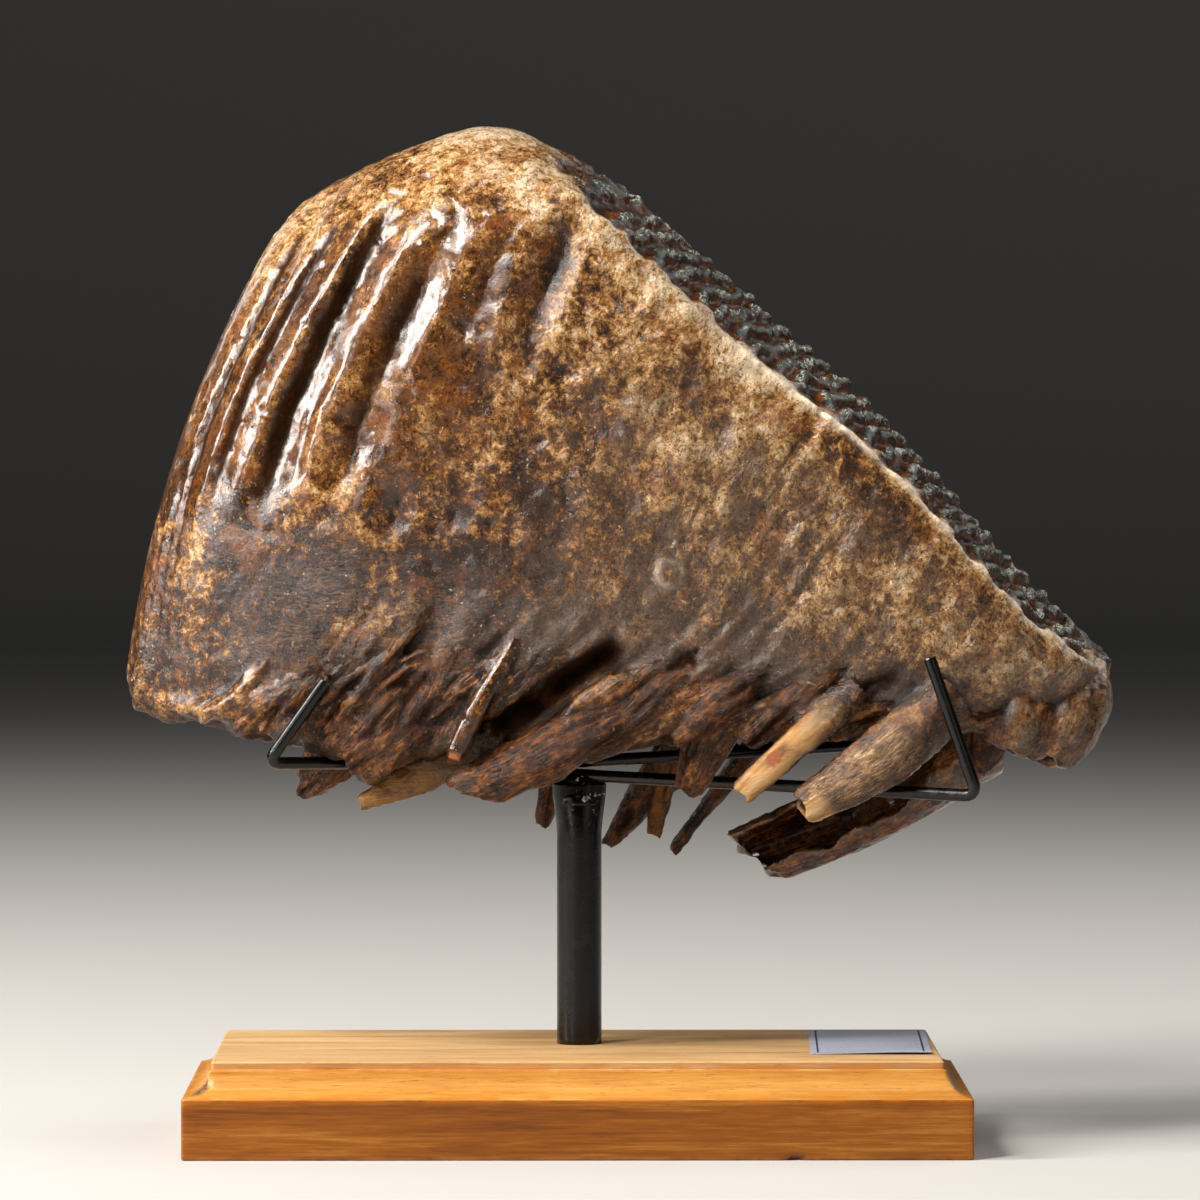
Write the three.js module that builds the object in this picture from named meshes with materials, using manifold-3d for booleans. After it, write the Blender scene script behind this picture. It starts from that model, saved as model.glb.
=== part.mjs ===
// A fossil mammoth molar resting in a wire cradle on a post and a wooden base.
// Units are millimetres. +X runs to the viewer's right, +Y away from the viewer and +Z up.
// The origin is the middle of the wooden base's underside.
import * as THREE from "three";
import { mergeVertices } from "three/addons/utils/BufferGeometryUtils.js";
import Module from "manifold-3d";

// Wooden base: a board with a coved edge under a thin upright lip.
const BASE_LENGTH = 200;
const BASE_DEPTH = 100;
const BASE_HEIGHT = 24.3;
const BASE_SIDE_HEIGHT = 15.4;
const BASE_LIP_HEIGHT = 2.1;
const BASE_LIP_INSET = 7.2;
const BASE_LIP_STEP = 0.2;
const BASE_COVE_INSET = 6.6;
const BASE_COVE_DEPTH = 0.75;
const BASE_COVE_STEPS = 6;

// Paper label, lying along the depth of the base near its right end.
const LABEL_WIDTH = 31;
const LABEL_LENGTH = 64;
const LABEL_THICKNESS = 0.4;
const LABEL_CENTRE = [76, 7];
const LABEL_TURN_DEGREES = -1.5;

// Steel post, squeezed flat and wide at its top, with a weld bead around the crossing rods.
const POST_CENTRE = [0.6, 6];
const POST_RADIUS = 5.8;
const POST_TOP = 92.3;
const POST_FLARE_START = 78;
const POST_FLARE_RADIUS = 7;
const POST_FLARE_STEPS = 3;
const POST_SIDES = 18;
const WELD_RADIUS = 6.4;
const WELD_FLATNESS = 0.8;
const WELD_BOTTOM = 86.5;
const WELD_TOP = 96.2;
const WELD_TAPER = 0.7;
const WELD_STEPS = 4;

// Cradle: two bent steel rods that cross on the post, one above the other.
const ROD_RADIUS = 1.6;
const ROD_SIDES = 8;
const ROD_BEND_RADIUS = 4;
const ROD_STEPS = 40;
const ROD_TO_TOOTH = 0.5;
const ROD_TO_POST = 0.3;
// Each rod's corners: prong tip, lower bend, crossing, lower bend, prong tip.
const UPPER_ROD = [
  [-63.6, -42.6, 120.8],
  [-78.4, -42.4, 99.9],
  [0.6, 6, 97.6],
  [90, 42, 100.8],
  [82, 41.7, 125],
];
const LOWER_ROD = [
  [-69, 41.6, 124],
  [-77, 42, 101.5],
  [0.6, 6, 94.1],
  [100.8, -47.8, 91.9],
  [88.6, -47.4, 126.8],
];

// The crown is a row of upright enamel plates, numbered from the unworn back end at the left.
// Guide plates: each lies along a smooth line through its foot, middle and crest, all [x, z].
const PLATE_COUNT = 19.7;
const GUIDE_PLATES = [
  { plate: 0, foot: [-116.5, 119], middle: [-103.5, 178], crest: [-78.5, 234] },
  { plate: 1, foot: [-111.5, 112.5], middle: [-99.5, 179], crest: [-69, 243.5] },
  { plate: 3, foot: [-96, 108.5], middle: [-83.5, 184], crest: [-43, 256.5] },
  { plate: 5, foot: [-75.5, 104.5], middle: [-50.5, 184], crest: [-17.5, 262.3] },
  { plate: 7, foot: [-52, 101.5], middle: [-22, 178], crest: [9.5, 250.5] },
  { plate: 10, foot: [-22, 102], middle: [15.5, 165], crest: [42.5, 222.5] },
  { plate: 13.8, foot: [22, 104], middle: [57.5, 147], crest: [82.5, 186] },
  { plate: 17.7, foot: [87, 106.5], middle: [104.5, 126], crest: [118.5, 145] },
  { plate: 19.7, foot: [130, 109], middle: [136, 117], crest: [138.5, 125] },
];
// Half of the crown's width at the same plates, and its share of that up the side.
const HALF_WIDTHS = [16, 20, 33, 42.5, 44, 44, 42.5, 38, 27];
const SIDE_HEIGHTS = [0, 0.3, 0.65, 1];
const SIDE_SHARES = [0.9, 0.98, 1, 0.86];
// Both ends are rounded off over this many plates, through these extra stations.
const END_ROUNDING_PLATES = 0.9;
const END_LEAST_SHARE = 0.15;
const END_STATIONS = [0.06, 0.14];

// Chewing face: worn flat from plate 6 on, tilted to the front, with two enamel ridges a plate.
const WEAR_START_PLATE = 5;
const WEAR_FULL_PLATE = 7.2;
const WORN_EDGE_RADIUS = 2.5;
const UNWORN_ROUNDING = 40;
const UNWORN_ROUNDING_SHARE = 0.85;
const TILT_PLATES = [0, 5, 7, 10, 14, 18, 19.7];
const TILT_DROPS = [0, 2, 13, 17, 13, 10, 5];
const FACE_CROWNING = 1.5;
const ENAMEL_RIDGE_HEIGHT = 1.1;

// Upright ribs on the sides, one a plate, with narrow grooves between them.
const RIB_PLATES = [0, 1, 3, 5, 7, 12, 19.7];
const RIB_DEPTHS = [1, 2.4, 3.8, 3.4, 1.8, 0.9, 0.6];
const RIB_HEIGHTS = [0, 0.28, 0.5, 0.84, 1];
const RIB_SHARES = [0.3, 0.3, 1, 0.85, 0.1];
const RIB_ROUNDNESS = 0.7;
// Hollow of the underside, between the two rows of roots.
const ARCH_PLATES = [0, 5, 9, 15, 19.7];
const ARCH_HEIGHTS = [2, 5, 9, 7, 2];
const FOOT_ROUNDING = 6;

// How finely the crown is divided, along its length and round each plate's outline.
const STATIONS_PER_PLATE = 4;
const FLAT_FOOT_STEPS = 2;
const FOOT_CORNER_STEPS = 2;
const SIDE_STEPS = 5;
const TOP_CORNER_STEPS = 3;
const FLAT_TOP_STEPS = 2;

// Roots and root lobes: a bent, tapering horn through three points [x, y, z].
// across holds its radii in the picture's plane at those points, and deep those along Y.
const ROOTS = [
  { name: "front spike", path: [[-17, -37, 128], [-27, -41, 109], [-34.5, -38, 91]],
    across: [1.5, 3.2, 2.2], deep: [2.5, 4.2, 2.6] },
  { name: "front fan, left", path: [[-3, -36, 129], [-19, -39, 108], [-31.5, -37, 90]],
    across: [2, 5.2, 3], deep: [4, 5.5, 3.2] },
  { name: "front fan, middle", path: [[8, -36, 129], [-8, -39, 108], [-23, -37, 89]],
    across: [2.5, 7.2, 4.4], deep: [5, 6, 3.4] },
  { name: "front fan, right", path: [[20, -35, 122], [4, -38, 108], [-11.5, -37, 93.5]],
    across: [2.5, 6.4, 4], deep: [5, 5.6, 3.4] },
  { name: "left lobe", path: [[-38, -33, 122], [-49, -36, 110], [-59, -36, 100]],
    across: [10, 12.5, 9], deep: [6, 7, 4.5] },
  { name: "left amber blade", path: [[-26, -30, 104], [-42, -32, 95], [-55, -34, 89.5]],
    across: [5, 4.4, 2.2], deep: [4, 3, 1.8] },
  { name: "left inner splinter", path: [[-54, -14, 108], [-64, -14, 97], [-71, -12, 89.5]],
    across: [7, 5.5, 1.8], deep: [6, 4.5, 1.6] },
  { name: "middle lobe", path: [[38, -32, 114], [32, -29, 102], [28.5, -25, 92.5]],
    across: [7, 6, 3.8], deep: [8, 6.5, 4.5] },
  { name: "ivory root", path: [[71, -39, 119], [57, -43, 106.5], [41.5, -44, 92.2]],
    across: [3.4, 3.7, 2.9], deep: [4, 3.8, 3] },
  { name: "broad root", path: [[95, -37, 117], [78, -43, 102], [57, -45, 88.5]],
    across: [6.5, 7.6, 4], deep: [7, 5.4, 3.4] },
  { name: "right lobe", path: [[117, -20, 119], [116, -26, 109], [114, -27, 99.5]],
    across: [9, 10.5, 7.5], deep: [10, 10, 7] },
  { name: "right end lobe", path: [[128, -12, 118], [129, -17, 110], [129.5, -19, 104]],
    across: [7, 6.5, 5], deep: [12, 9, 7] },
  { name: "right inner splinter", path: [[107, -4, 112], [106, -5, 103], [103, -6, 96]],
    across: [7, 5.5, 3], deep: [8, 6, 3] },
  { name: "middle blade", path: [[24, 26, 110], [15, 28, 91], [7.5, 29, 74]],
    across: [10, 7, 1.8], deep: [6, 4.5, 1.8] },
  { name: "middle finger", path: [[42, 30, 108], [32.5, 33, 88], [24.5, 34, 72.5]],
    across: [5, 3.4, 1.8], deep: [6, 3.6, 2] },
  { name: "middle stub", path: [[28, 24, 106], [23, 24, 90], [20, 23, 77.5]],
    across: [4.5, 3, 2], deep: [4.5, 3, 2] },
  { name: "post splinter", path: [[-2, 24, 108], [-6, 26, 94], [-9, 27, 80.5]],
    across: [5, 3.6, 2.6], deep: [5.5, 4, 2.6] },
  { name: "back left root", path: [[-50, 24, 116], [-62, 28, 103], [-70, 29, 91]],
    across: [8, 7.5, 4], deep: [9, 7, 4] },
  { name: "back fan, left", path: [[-18, 36, 122], [-31, 40, 104], [-42, 41, 89]],
    across: [4, 6.5, 3.5], deep: [5, 5, 3.2] },
  { name: "back fan, right", path: [[6, 36, 124], [-9, 40, 105], [-23, 40, 88]],
    across: [4, 7.5, 4], deep: [5, 6, 3.6] },
  { name: "back lobe", path: [[66, 34, 118], [56, 38, 107], [48, 39, 98]],
    across: [6, 8.5, 5.5], deep: [8, 6, 4] },
  { name: "back right lobe", path: [[99, 26, 114], [94, 28, 106], [89, 28, 99]],
    across: [9, 10, 6.5], deep: [10, 8, 6] },
  { name: "back end lobe", path: [[121, 14, 116], [119, 17, 107], [116, 17, 100.5]],
    across: [9, 8.5, 6], deep: [11, 9, 6.5] },
];
const ROOT_SIDES = 8;
const ROOT_STEPS = 4;
const ROOT_TIP_BLUNTING = 0.72;
// The biggest root is a broken tube: its near wall and its end are open.
const TUBE_ROOT = { path: [[106, 6, 104], [77, 5, 87], [47, 4, 73.5]],
  across: [11, 10.5, 9], deep: [12, 12, 10] };
const TUBE_HOLLOW = { path: [[92, -3, 96], [72, -4, 85], [40, -5, 69.5]],
  across: [4.5, 6.2, 7.2], deep: [9, 11, 11] };

const COLOURS = {
  molar: { color: 0x7a5532, roughness: 0.4, metalness: 0 },
  rod: { color: 0x0c0c0d, roughness: 0.42, metalness: 0.4 },
  post: { color: 0x0a0a0b, roughness: 0.45, metalness: 0.4 },
  base: { color: 0xc98a3a, roughness: 0.5, metalness: 0 },
  label: { color: 0xd9dbe6, roughness: 0.6, metalness: 0 },
};

const wasm = await Module();
wasm.setup();

const clamp01 = (v) => Math.min(1, Math.max(0, v));
const mix = (a, b, share) => a + (b - a) * share;

function smoothstep(from, to, v) {
  const u = clamp01((v - from) / (to - from));
  return u * u * (3 - 2 * u);
}

// A smooth curve through values given at rising knots (cubic Hermite with averaged slopes).
function through(knots, values, at) {
  const last = knots.length - 1;
  const x = Math.min(knots[last], Math.max(knots[0], at));
  let i = 0;
  while (i < last - 1 && x > knots[i + 1]) i += 1;
  const slope = (a, b) => (values[b] - values[a]) / (knots[b] - knots[a]);
  const step = knots[i + 1] - knots[i];
  const m0 = slope(Math.max(0, i - 1), i + 1) * step;
  const m1 = slope(i, Math.min(last, i + 2)) * step;
  const u = (x - knots[i]) / step;
  const rise = u * u * (3 - 2 * u);
  return mix(values[i], values[i + 1], rise)
    + u * (1 - u) * ((1 - u) * m0 - u * m1);
}

const guideKnots = GUIDE_PLATES.map((g) => g.plate);
const guide = (point, axis, plate) =>
  through(guideKnots, GUIDE_PLATES.map((g) => g[point][axis]), plate);

// The centre line of one plate: [x, z] at a height share of 0 at its foot and 1 at its crest.
function platePoint(plate, share) {
  return [0, 1].map((axis) => {
    const foot = guide("foot", axis, plate);
    const middle = guide("middle", axis, plate);
    const crest = guide("crest", axis, plate);
    return foot * (1 - share) * (1 - 2 * share)
      + middle * 4 * share * (1 - share)
      + crest * share * (2 * share - 1);
  });
}

function plateHeight(plate) {
  const [foot, middle, crest] = [0, 0.5, 1].map((share) => platePoint(plate, share));
  return Math.hypot(middle[0] - foot[0], middle[1] - foot[1])
    + Math.hypot(crest[0] - middle[0], crest[1] - middle[1]);
}

function halfWidth(plate) {
  const toEnd = Math.min(plate, PLATE_COUNT - plate) / END_ROUNDING_PLATES;
  const rounding = Math.sqrt(1 - (1 - clamp01(toEnd)) ** 2);
  return through(guideKnots, HALF_WIDTHS, plate) * Math.max(END_LEAST_SHARE, rounding);
}

// How far the side is set back from its full width: 0 on a plate's rib, most between plates.
function ribSetback(plate, share) {
  const groove = 1 - Math.abs(Math.cos(Math.PI * plate)) ** RIB_ROUNDNESS;
  return groove * through(RIB_PLATES, RIB_DEPTHS, plate) * through(RIB_HEIGHTS, RIB_SHARES, share);
}

// Half of a plate's outline, from the middle of its foot to the middle of its crest.
// Each point is { out, up }: its distance from the mid plane and its height along the plate.
function halfOutline(plate) {
  const height = plateHeight(plate);
  const full = halfWidth(plate);
  const widthAt = (up) => full * through(SIDE_HEIGHTS, SIDE_SHARES, clamp01(up / height));
  const worn = smoothstep(WEAR_START_PLATE, WEAR_FULL_PLATE, plate);
  const wornEdge = Math.min(WORN_EDGE_RADIUS, full / 2);
  const edgeOut = mix(UNWORN_ROUNDING_SHARE * widthAt(height), wornEdge, worn);
  const edgeUp = mix(UNWORN_ROUNDING, WORN_EDGE_RADIUS, worn);
  const foot = Math.min(FOOT_ROUNDING, full / 2, height / 3);
  const arch = through(ARCH_PLATES, ARCH_HEIGHTS, plate);
  const flatFoot = widthAt(0) - foot;
  const flatTop = widthAt(height) - edgeOut;
  const points = [];
  for (let i = 0; i < FLAT_FOOT_STEPS; i += 1) {
    const out = (flatFoot * i) / FLAT_FOOT_STEPS;
    points.push({ out, up: arch * (1 - (out / flatFoot) ** 2) });
  }
  for (let i = 0; i < FOOT_CORNER_STEPS; i += 1) {
    const turn = (Math.PI / 2) * (i / FOOT_CORNER_STEPS);
    const up = foot * (1 - Math.cos(turn));
    points.push({ out: widthAt(up) - foot * (1 - Math.sin(turn)), up });
  }
  for (let i = 0; i < SIDE_STEPS; i += 1) {
    const up = mix(foot, height - edgeUp, i / SIDE_STEPS);
    points.push({ out: widthAt(up), up });
  }
  for (let i = 0; i < TOP_CORNER_STEPS; i += 1) {
    const turn = (Math.PI / 2) * (i / TOP_CORNER_STEPS);
    const up = height - edgeUp * (1 - Math.sin(turn));
    points.push({ out: widthAt(up) - edgeOut * (1 - Math.cos(turn)), up });
  }
  for (let i = 0; i <= FLAT_TOP_STEPS; i += 1) {
    const out = flatTop * (1 - i / FLAT_TOP_STEPS);
    const crowning = FACE_CROWNING * worn * (1 - (out / flatTop) ** 2);
    const ridge = -Math.cos(4 * Math.PI * plate) * ENAMEL_RIDGE_HEIGHT * worn;
    points.push({ out, up: height + crowning + ridge });
  }
  return { points, height, full };
}

// The closed outline of one plate, as points in space: up its front side and down its back.
function plateRing(plate) {
  const { points, height, full } = halfOutline(plate);
  const tilt = through(TILT_PLATES, TILT_DROPS, plate);
  const inSpace = ({ out, up }, side) => {
    const share = up / height;
    const onSide = smoothstep(0, full / 3, out);
    const y = side * (out - onSide * ribSetback(plate, clamp01(share)));
    const drop = (tilt / 2) * (1 - y / full) * clamp01(share) ** 3;
    const [x, z] = platePoint(plate, (up - drop) / height);
    return new THREE.Vector3(x, y, z);
  };
  const front = points.map((p) => inSpace(p, -1));
  const back = points.slice(1, -1).reverse().map((p) => inSpace(p, 1));
  return [...front, ...back];
}

// A closed mesh through rings of equally many points, with a fan over each end.
function skin(rings) {
  const count = rings[0].length;
  const corners = rings.flat();
  const ends = [rings[0], rings[rings.length - 1]].map((ring) =>
    ring.reduce((sum, p) => sum.add(p), new THREE.Vector3()).divideScalar(count));
  const index = [];
  for (let r = 0; r + 1 < rings.length; r += 1) {
    for (let i = 0; i < count; i += 1) {
      const a = r * count + i;
      const b = r * count + ((i + 1) % count);
      index.push(a, a + count, b, b, a + count, b + count);
    }
  }
  const lastRing = (rings.length - 1) * count;
  for (let i = 0; i < count; i += 1) {
    const next = (i + 1) % count;
    index.push(corners.length, i, next);
    index.push(corners.length + 1, lastRing + next, lastRing + i);
  }
  const geometry = new THREE.BufferGeometry().setFromPoints([...corners, ...ends]);
  return geometry.setIndex(index);
}

// A horn along a smooth line through three points, with an elliptical section that tapers.
function horn({ path, across, deep }) {
  const line = new THREE.CatmullRomCurve3(path.map((p) => new THREE.Vector3(...p)));
  const rings = [];
  for (let r = 0; r <= ROOT_STEPS; r += 1) {
    const u = r / ROOT_STEPS;
    const centre = line.getPoint(u);
    const along = line.getTangent(u);
    const sideways = new THREE.Vector3(0, 1, 0).addScaledVector(along, -along.y).normalize();
    const upward = new THREE.Vector3().crossVectors(sideways, along);
    const blunting = r === ROOT_STEPS ? ROOT_TIP_BLUNTING : 1;
    const a = through([0, 0.5, 1], across, u) * blunting;
    const d = through([0, 0.5, 1], deep, u) * blunting;
    const ring = [];
    for (let i = 0; i < ROOT_SIDES; i += 1) {
      const turn = (-2 * Math.PI * i) / ROOT_SIDES;
      ring.push(centre.clone()
        .addScaledVector(upward, a * Math.cos(turn))
        .addScaledVector(sideways, d * Math.sin(turn)));
    }
    rings.push(ring);
  }
  return skin(rings);
}

// A geometry as a manifold solid, with its shared corners merged.
function solid(geometry) {
  const bare = geometry.index ? geometry.toNonIndexed() : geometry.clone();
  bare.deleteAttribute("normal");
  bare.deleteAttribute("uv");
  const merged = mergeVertices(bare, 1e-3);
  return new wasm.Manifold(new wasm.Mesh({
    numProp: 3,
    vertProperties: merged.attributes.position.array,
    triVerts: new Uint32Array(merged.index.array),
  }));
}

function geometryOf(body) {
  const made = body.getMesh();
  const geometry = new THREE.BufferGeometry();
  geometry.setAttribute("position", new THREE.BufferAttribute(made.vertProperties, 3));
  geometry.setIndex(new THREE.BufferAttribute(made.triVerts, 1));
  geometry.computeVertexNormals();
  return geometry;
}

// A rod's centre line: straight runs joined by round bends at its inner corners.
function rodLine(corners) {
  const points = corners.map((p) => new THREE.Vector3(...p));
  const line = new THREE.CurvePath();
  let from = points[0];
  for (let i = 1; i + 1 < points.length; i += 1) {
    const corner = points[i];
    const towards = (other) =>
      corner.clone().add(other.clone().sub(corner).setLength(ROD_BEND_RADIUS));
    const before = towards(points[i - 1]);
    const after = towards(points[i + 1]);
    line.add(new THREE.LineCurve3(from, before));
    line.add(new THREE.QuadraticBezierCurve3(before, corner, after));
    from = after;
  }
  line.add(new THREE.LineCurve3(from, points[points.length - 1]));
  return line;
}

function rodGeometry(corners, radius) {
  const section = new THREE.Shape();
  for (let i = 0; i < ROD_SIDES; i += 1) {
    const turn = (2 * Math.PI * i) / ROD_SIDES;
    const corner = [radius * Math.cos(turn), radius * Math.sin(turn)];
    if (i === 0) section.moveTo(...corner);
    else section.lineTo(...corner);
  }
  section.closePath();
  return new THREE.ExtrudeGeometry(section, {
    steps: ROD_STEPS,
    extrudePath: rodLine(corners),
    bevelEnabled: false,
  });
}

// The molar: its crown and roots in one solid, with the tube root hollowed and the rods cleared.
function molarGeometry() {
  const lastWhole = Math.floor(PLATE_COUNT) * STATIONS_PER_PLATE;
  const plates = [0, ...END_STATIONS];
  for (let i = 1; i <= lastWhole; i += 1) plates.push(i / STATIONS_PER_PLATE);
  plates.push(...END_STATIONS.map((station) => PLATE_COUNT - station).reverse(), PLATE_COUNT);
  const crown = solid(skin(plates.map(plateRing)));
  let tooth = ROOTS.reduce((sum, root) => sum.add(solid(horn(root))), crown);
  tooth = tooth.add(solid(horn(TUBE_ROOT)));
  tooth = tooth.subtract(solid(horn(TUBE_HOLLOW)));
  for (const rod of [UPPER_ROD, LOWER_ROD]) {
    tooth = tooth.subtract(solid(rodGeometry(rod, ROD_RADIUS + ROD_TO_TOOTH)));
  }
  return geometryOf(tooth);
}

// The base: rectangles stacked from its underside, up the side, the cove and the lip.
function baseGeometry() {
  const coveHeight = BASE_HEIGHT - BASE_LIP_HEIGHT - BASE_SIDE_HEIGHT;
  const levels = [[0, 0]];
  for (let i = 0; i <= BASE_COVE_STEPS; i += 1) {
    const u = i / BASE_COVE_STEPS;
    const hollow = BASE_COVE_DEPTH * u * (1 - u);
    levels.push([BASE_COVE_INSET * (u + hollow), BASE_SIDE_HEIGHT + coveHeight * (u - hollow)]);
  }
  levels.push([BASE_LIP_INSET, BASE_HEIGHT - BASE_LIP_HEIGHT + BASE_LIP_STEP]);
  levels.push([BASE_LIP_INSET, BASE_HEIGHT]);
  const corners = [[-1, -1], [-1, 1], [1, 1], [1, -1]];
  return skin(levels.map(([inset, z]) => corners.map(([sx, sy]) =>
    new THREE.Vector3(sx * (BASE_LENGTH / 2 - inset), sy * (BASE_DEPTH / 2 - inset), z))));
}

// The post: a round bar whose top is squeezed flat, with the weld bead on it.
function postGeometry() {
  const [cx, cy] = POST_CENTRE;
  const ringAt = (z, wide, deep) => {
    const ring = [];
    for (let i = 0; i < POST_SIDES; i += 1) {
      const turn = (-2 * Math.PI * i) / POST_SIDES;
      ring.push(new THREE.Vector3(cx + wide * Math.cos(turn), cy + deep * Math.sin(turn), z));
    }
    return ring;
  };
  const squeeze = POST_FLARE_RADIUS - POST_RADIUS;
  const barRings = [ringAt(BASE_HEIGHT, POST_RADIUS, POST_RADIUS)];
  for (let i = 0; i <= POST_FLARE_STEPS; i += 1) {
    const flare = squeeze * smoothstep(0, POST_FLARE_STEPS, i);
    const z = mix(POST_FLARE_START, POST_TOP, i / POST_FLARE_STEPS);
    barRings.push(ringAt(z, POST_RADIUS + flare, POST_RADIUS - flare));
  }
  const beadRings = [];
  for (let i = 0; i <= WELD_STEPS; i += 1) {
    const z = mix(WELD_BOTTOM, WELD_TOP, i / WELD_STEPS);
    const radius = WELD_RADIUS * Math.sqrt(1 - WELD_TAPER * (i / WELD_STEPS) ** 2);
    beadRings.push(ringAt(z, radius, WELD_FLATNESS * radius));
  }
  let post = solid(skin(barRings)).add(solid(skin(beadRings)));
  for (const rod of [UPPER_ROD, LOWER_ROD]) {
    post = post.subtract(solid(rodGeometry(rod, ROD_RADIUS + ROD_TO_POST)));
  }
  return geometryOf(post);
}

function labelGeometry() {
  const card = new THREE.BoxGeometry(LABEL_WIDTH, LABEL_LENGTH, LABEL_THICKNESS);
  const [x, y] = LABEL_CENTRE;
  card.rotateZ(THREE.MathUtils.degToRad(LABEL_TURN_DEGREES));
  return card.translate(x, y, BASE_HEIGHT + LABEL_THICKNESS / 2);
}

function piece(name, geometry, finish) {
  const mesh = new THREE.Mesh(geometry, new THREE.MeshStandardMaterial(finish));
  mesh.name = name;
  return mesh;
}

const stand = new THREE.Group();
stand.add(piece("base", baseGeometry(), COLOURS.base));
stand.add(piece("label", labelGeometry(), COLOURS.label));
stand.add(piece("post", postGeometry(), COLOURS.post));
stand.add(piece("rod_upper", rodGeometry(UPPER_ROD, ROD_RADIUS), COLOURS.rod));
stand.add(piece("rod_lower", rodGeometry(LOWER_ROD, ROD_RADIUS), COLOURS.rod));

const displayedMolar = new THREE.Group();
displayedMolar.add(stand);
displayedMolar.add(piece("molar", molarGeometry(), COLOURS.molar));

export default displayedMolar;
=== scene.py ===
"""A fossil mammoth molar resting in a steel rod cradle on a post and a wooden base.

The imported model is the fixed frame. Shapes are worked out here in millimetres, with +X to the
viewer's right, +Y away from the viewer and +Z up, and are turned into metres as meshes are made.
"""
import itertools
import logging
import math
from dataclasses import dataclass
from enum import Enum

import bpy
import numpy as np
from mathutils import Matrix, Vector
from mathutils.bvhtree import BVHTree


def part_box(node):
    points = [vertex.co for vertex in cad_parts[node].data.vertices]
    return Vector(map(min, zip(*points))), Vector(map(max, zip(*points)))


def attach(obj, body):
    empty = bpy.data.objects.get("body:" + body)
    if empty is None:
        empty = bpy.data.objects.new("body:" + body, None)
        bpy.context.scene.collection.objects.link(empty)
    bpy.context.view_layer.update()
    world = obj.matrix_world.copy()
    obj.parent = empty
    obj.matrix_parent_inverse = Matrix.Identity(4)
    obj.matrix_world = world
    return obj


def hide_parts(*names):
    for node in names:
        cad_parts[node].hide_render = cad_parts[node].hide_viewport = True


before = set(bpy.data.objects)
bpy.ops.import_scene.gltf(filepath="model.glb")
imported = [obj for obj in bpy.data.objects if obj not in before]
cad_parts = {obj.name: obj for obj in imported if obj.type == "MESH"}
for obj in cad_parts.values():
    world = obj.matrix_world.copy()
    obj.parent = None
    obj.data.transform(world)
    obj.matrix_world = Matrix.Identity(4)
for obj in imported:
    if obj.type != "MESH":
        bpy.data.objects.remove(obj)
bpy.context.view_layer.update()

LOG = logging.getLogger("mammoth_molar")
MM = 0.001
ROOT_BODY = "root"
Colour = tuple[float, float, float]


def clamp01(value: np.ndarray) -> np.ndarray:
    """Return value held between 0 and 1."""
    return np.clip(value, 0.0, 1.0)


def mix(low: np.ndarray, high: np.ndarray, share: np.ndarray) -> np.ndarray:
    """Return the blend of low and high at a share of 0 to 1."""
    return low + (high - low) * share


def smoothstep(start: float, end: float, value: np.ndarray) -> np.ndarray:
    """Return a smooth rise from 0 at start to 1 at end."""
    u = clamp01((np.asarray(value, float) - start) / (end - start))
    return u * u * (3 - 2 * u)


def through(knots: list[float], values: list[float], at: np.ndarray) -> np.ndarray:
    """Return a smooth curve through values given at rising knots.

    Args:
        knots: Rising places of the values.
        values: What the curve passes through.
        at: Where to read the curve.

    Returns:
        The curve's values, by cubic Hermite pieces with averaged slopes.
    """
    k = np.asarray(knots, float)
    v = np.asarray(values, float)
    last = len(k) - 1
    x = np.clip(at, k[0], k[last])
    i = np.clip(np.searchsorted(k, x, side="left") - 1, 0, last - 1)
    before = np.maximum(0, i - 1)
    after = np.minimum(last, i + 2)
    step = k[i + 1] - k[i]
    m0 = (v[i + 1] - v[before]) / (k[i + 1] - k[before]) * step
    m1 = (v[after] - v[i]) / (k[after] - k[i]) * step
    u = (x - k[i]) / step
    return mix(v[i], v[i + 1], u * u * (3 - 2 * u)) + u * (1 - u) * ((1 - u) * m0 - u * m1)


class Noise:
    """Smooth gradient noise in space, the same on every run for one seed."""

    def __init__(self, seed: int) -> None:
        """Draw the lattice's order and gradients.

        Args:
            seed: Which noise this is.
        """
        draw = np.random.default_rng(seed)
        self._order = draw.permutation(256)
        gradients = draw.normal(size=(256, 3))
        self._gradients = gradients / np.linalg.norm(gradients, axis=1, keepdims=True)

    def at(self, points: np.ndarray, size: float | tuple[float, float, float]) -> np.ndarray:
        """Read the noise.

        Args:
            points: An (n, 3) array of places.
            size: How large its lumps are, along each axis.

        Returns:
            n values, nearly all between -1 and 1.
        """
        q = points / np.asarray(size, float)
        cell = np.floor(q).astype(np.int64)
        part = q - cell
        fade = part ** 3 * (part * (part * 6 - 15) + 10)
        total = np.zeros(len(q))
        for corner in itertools.product((0, 1), repeat=3):
            at_corner = (cell + corner) & 255
            first = self._order[at_corner[:, 0]]
            second = self._order[(first + at_corner[:, 1]) & 255]
            third = self._order[(second + at_corner[:, 2]) & 255]
            reach = part - corner
            weight = np.prod(np.where(np.asarray(corner) == 1, fade, 1 - fade), axis=1)
            total += weight * np.einsum("ij,ij->i", self._gradients[third], reach)
        return total * 1.7

    def layered(self, points: np.ndarray, size: float, layers: int = 3) -> np.ndarray:
        """Return noise summed over layers, each half as large and half as strong."""
        return sum(self.at(points + 7.3 * i, size / 2 ** i) / 2 ** i for i in range(layers))

    def ridged(self, points: np.ndarray, size: float | tuple[float, float, float]) -> np.ndarray:
        """Return noise with sharp crests, from 0 between them to 1 on them."""
        return 1 - np.abs(self.at(points, size)) * 1.6


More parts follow.
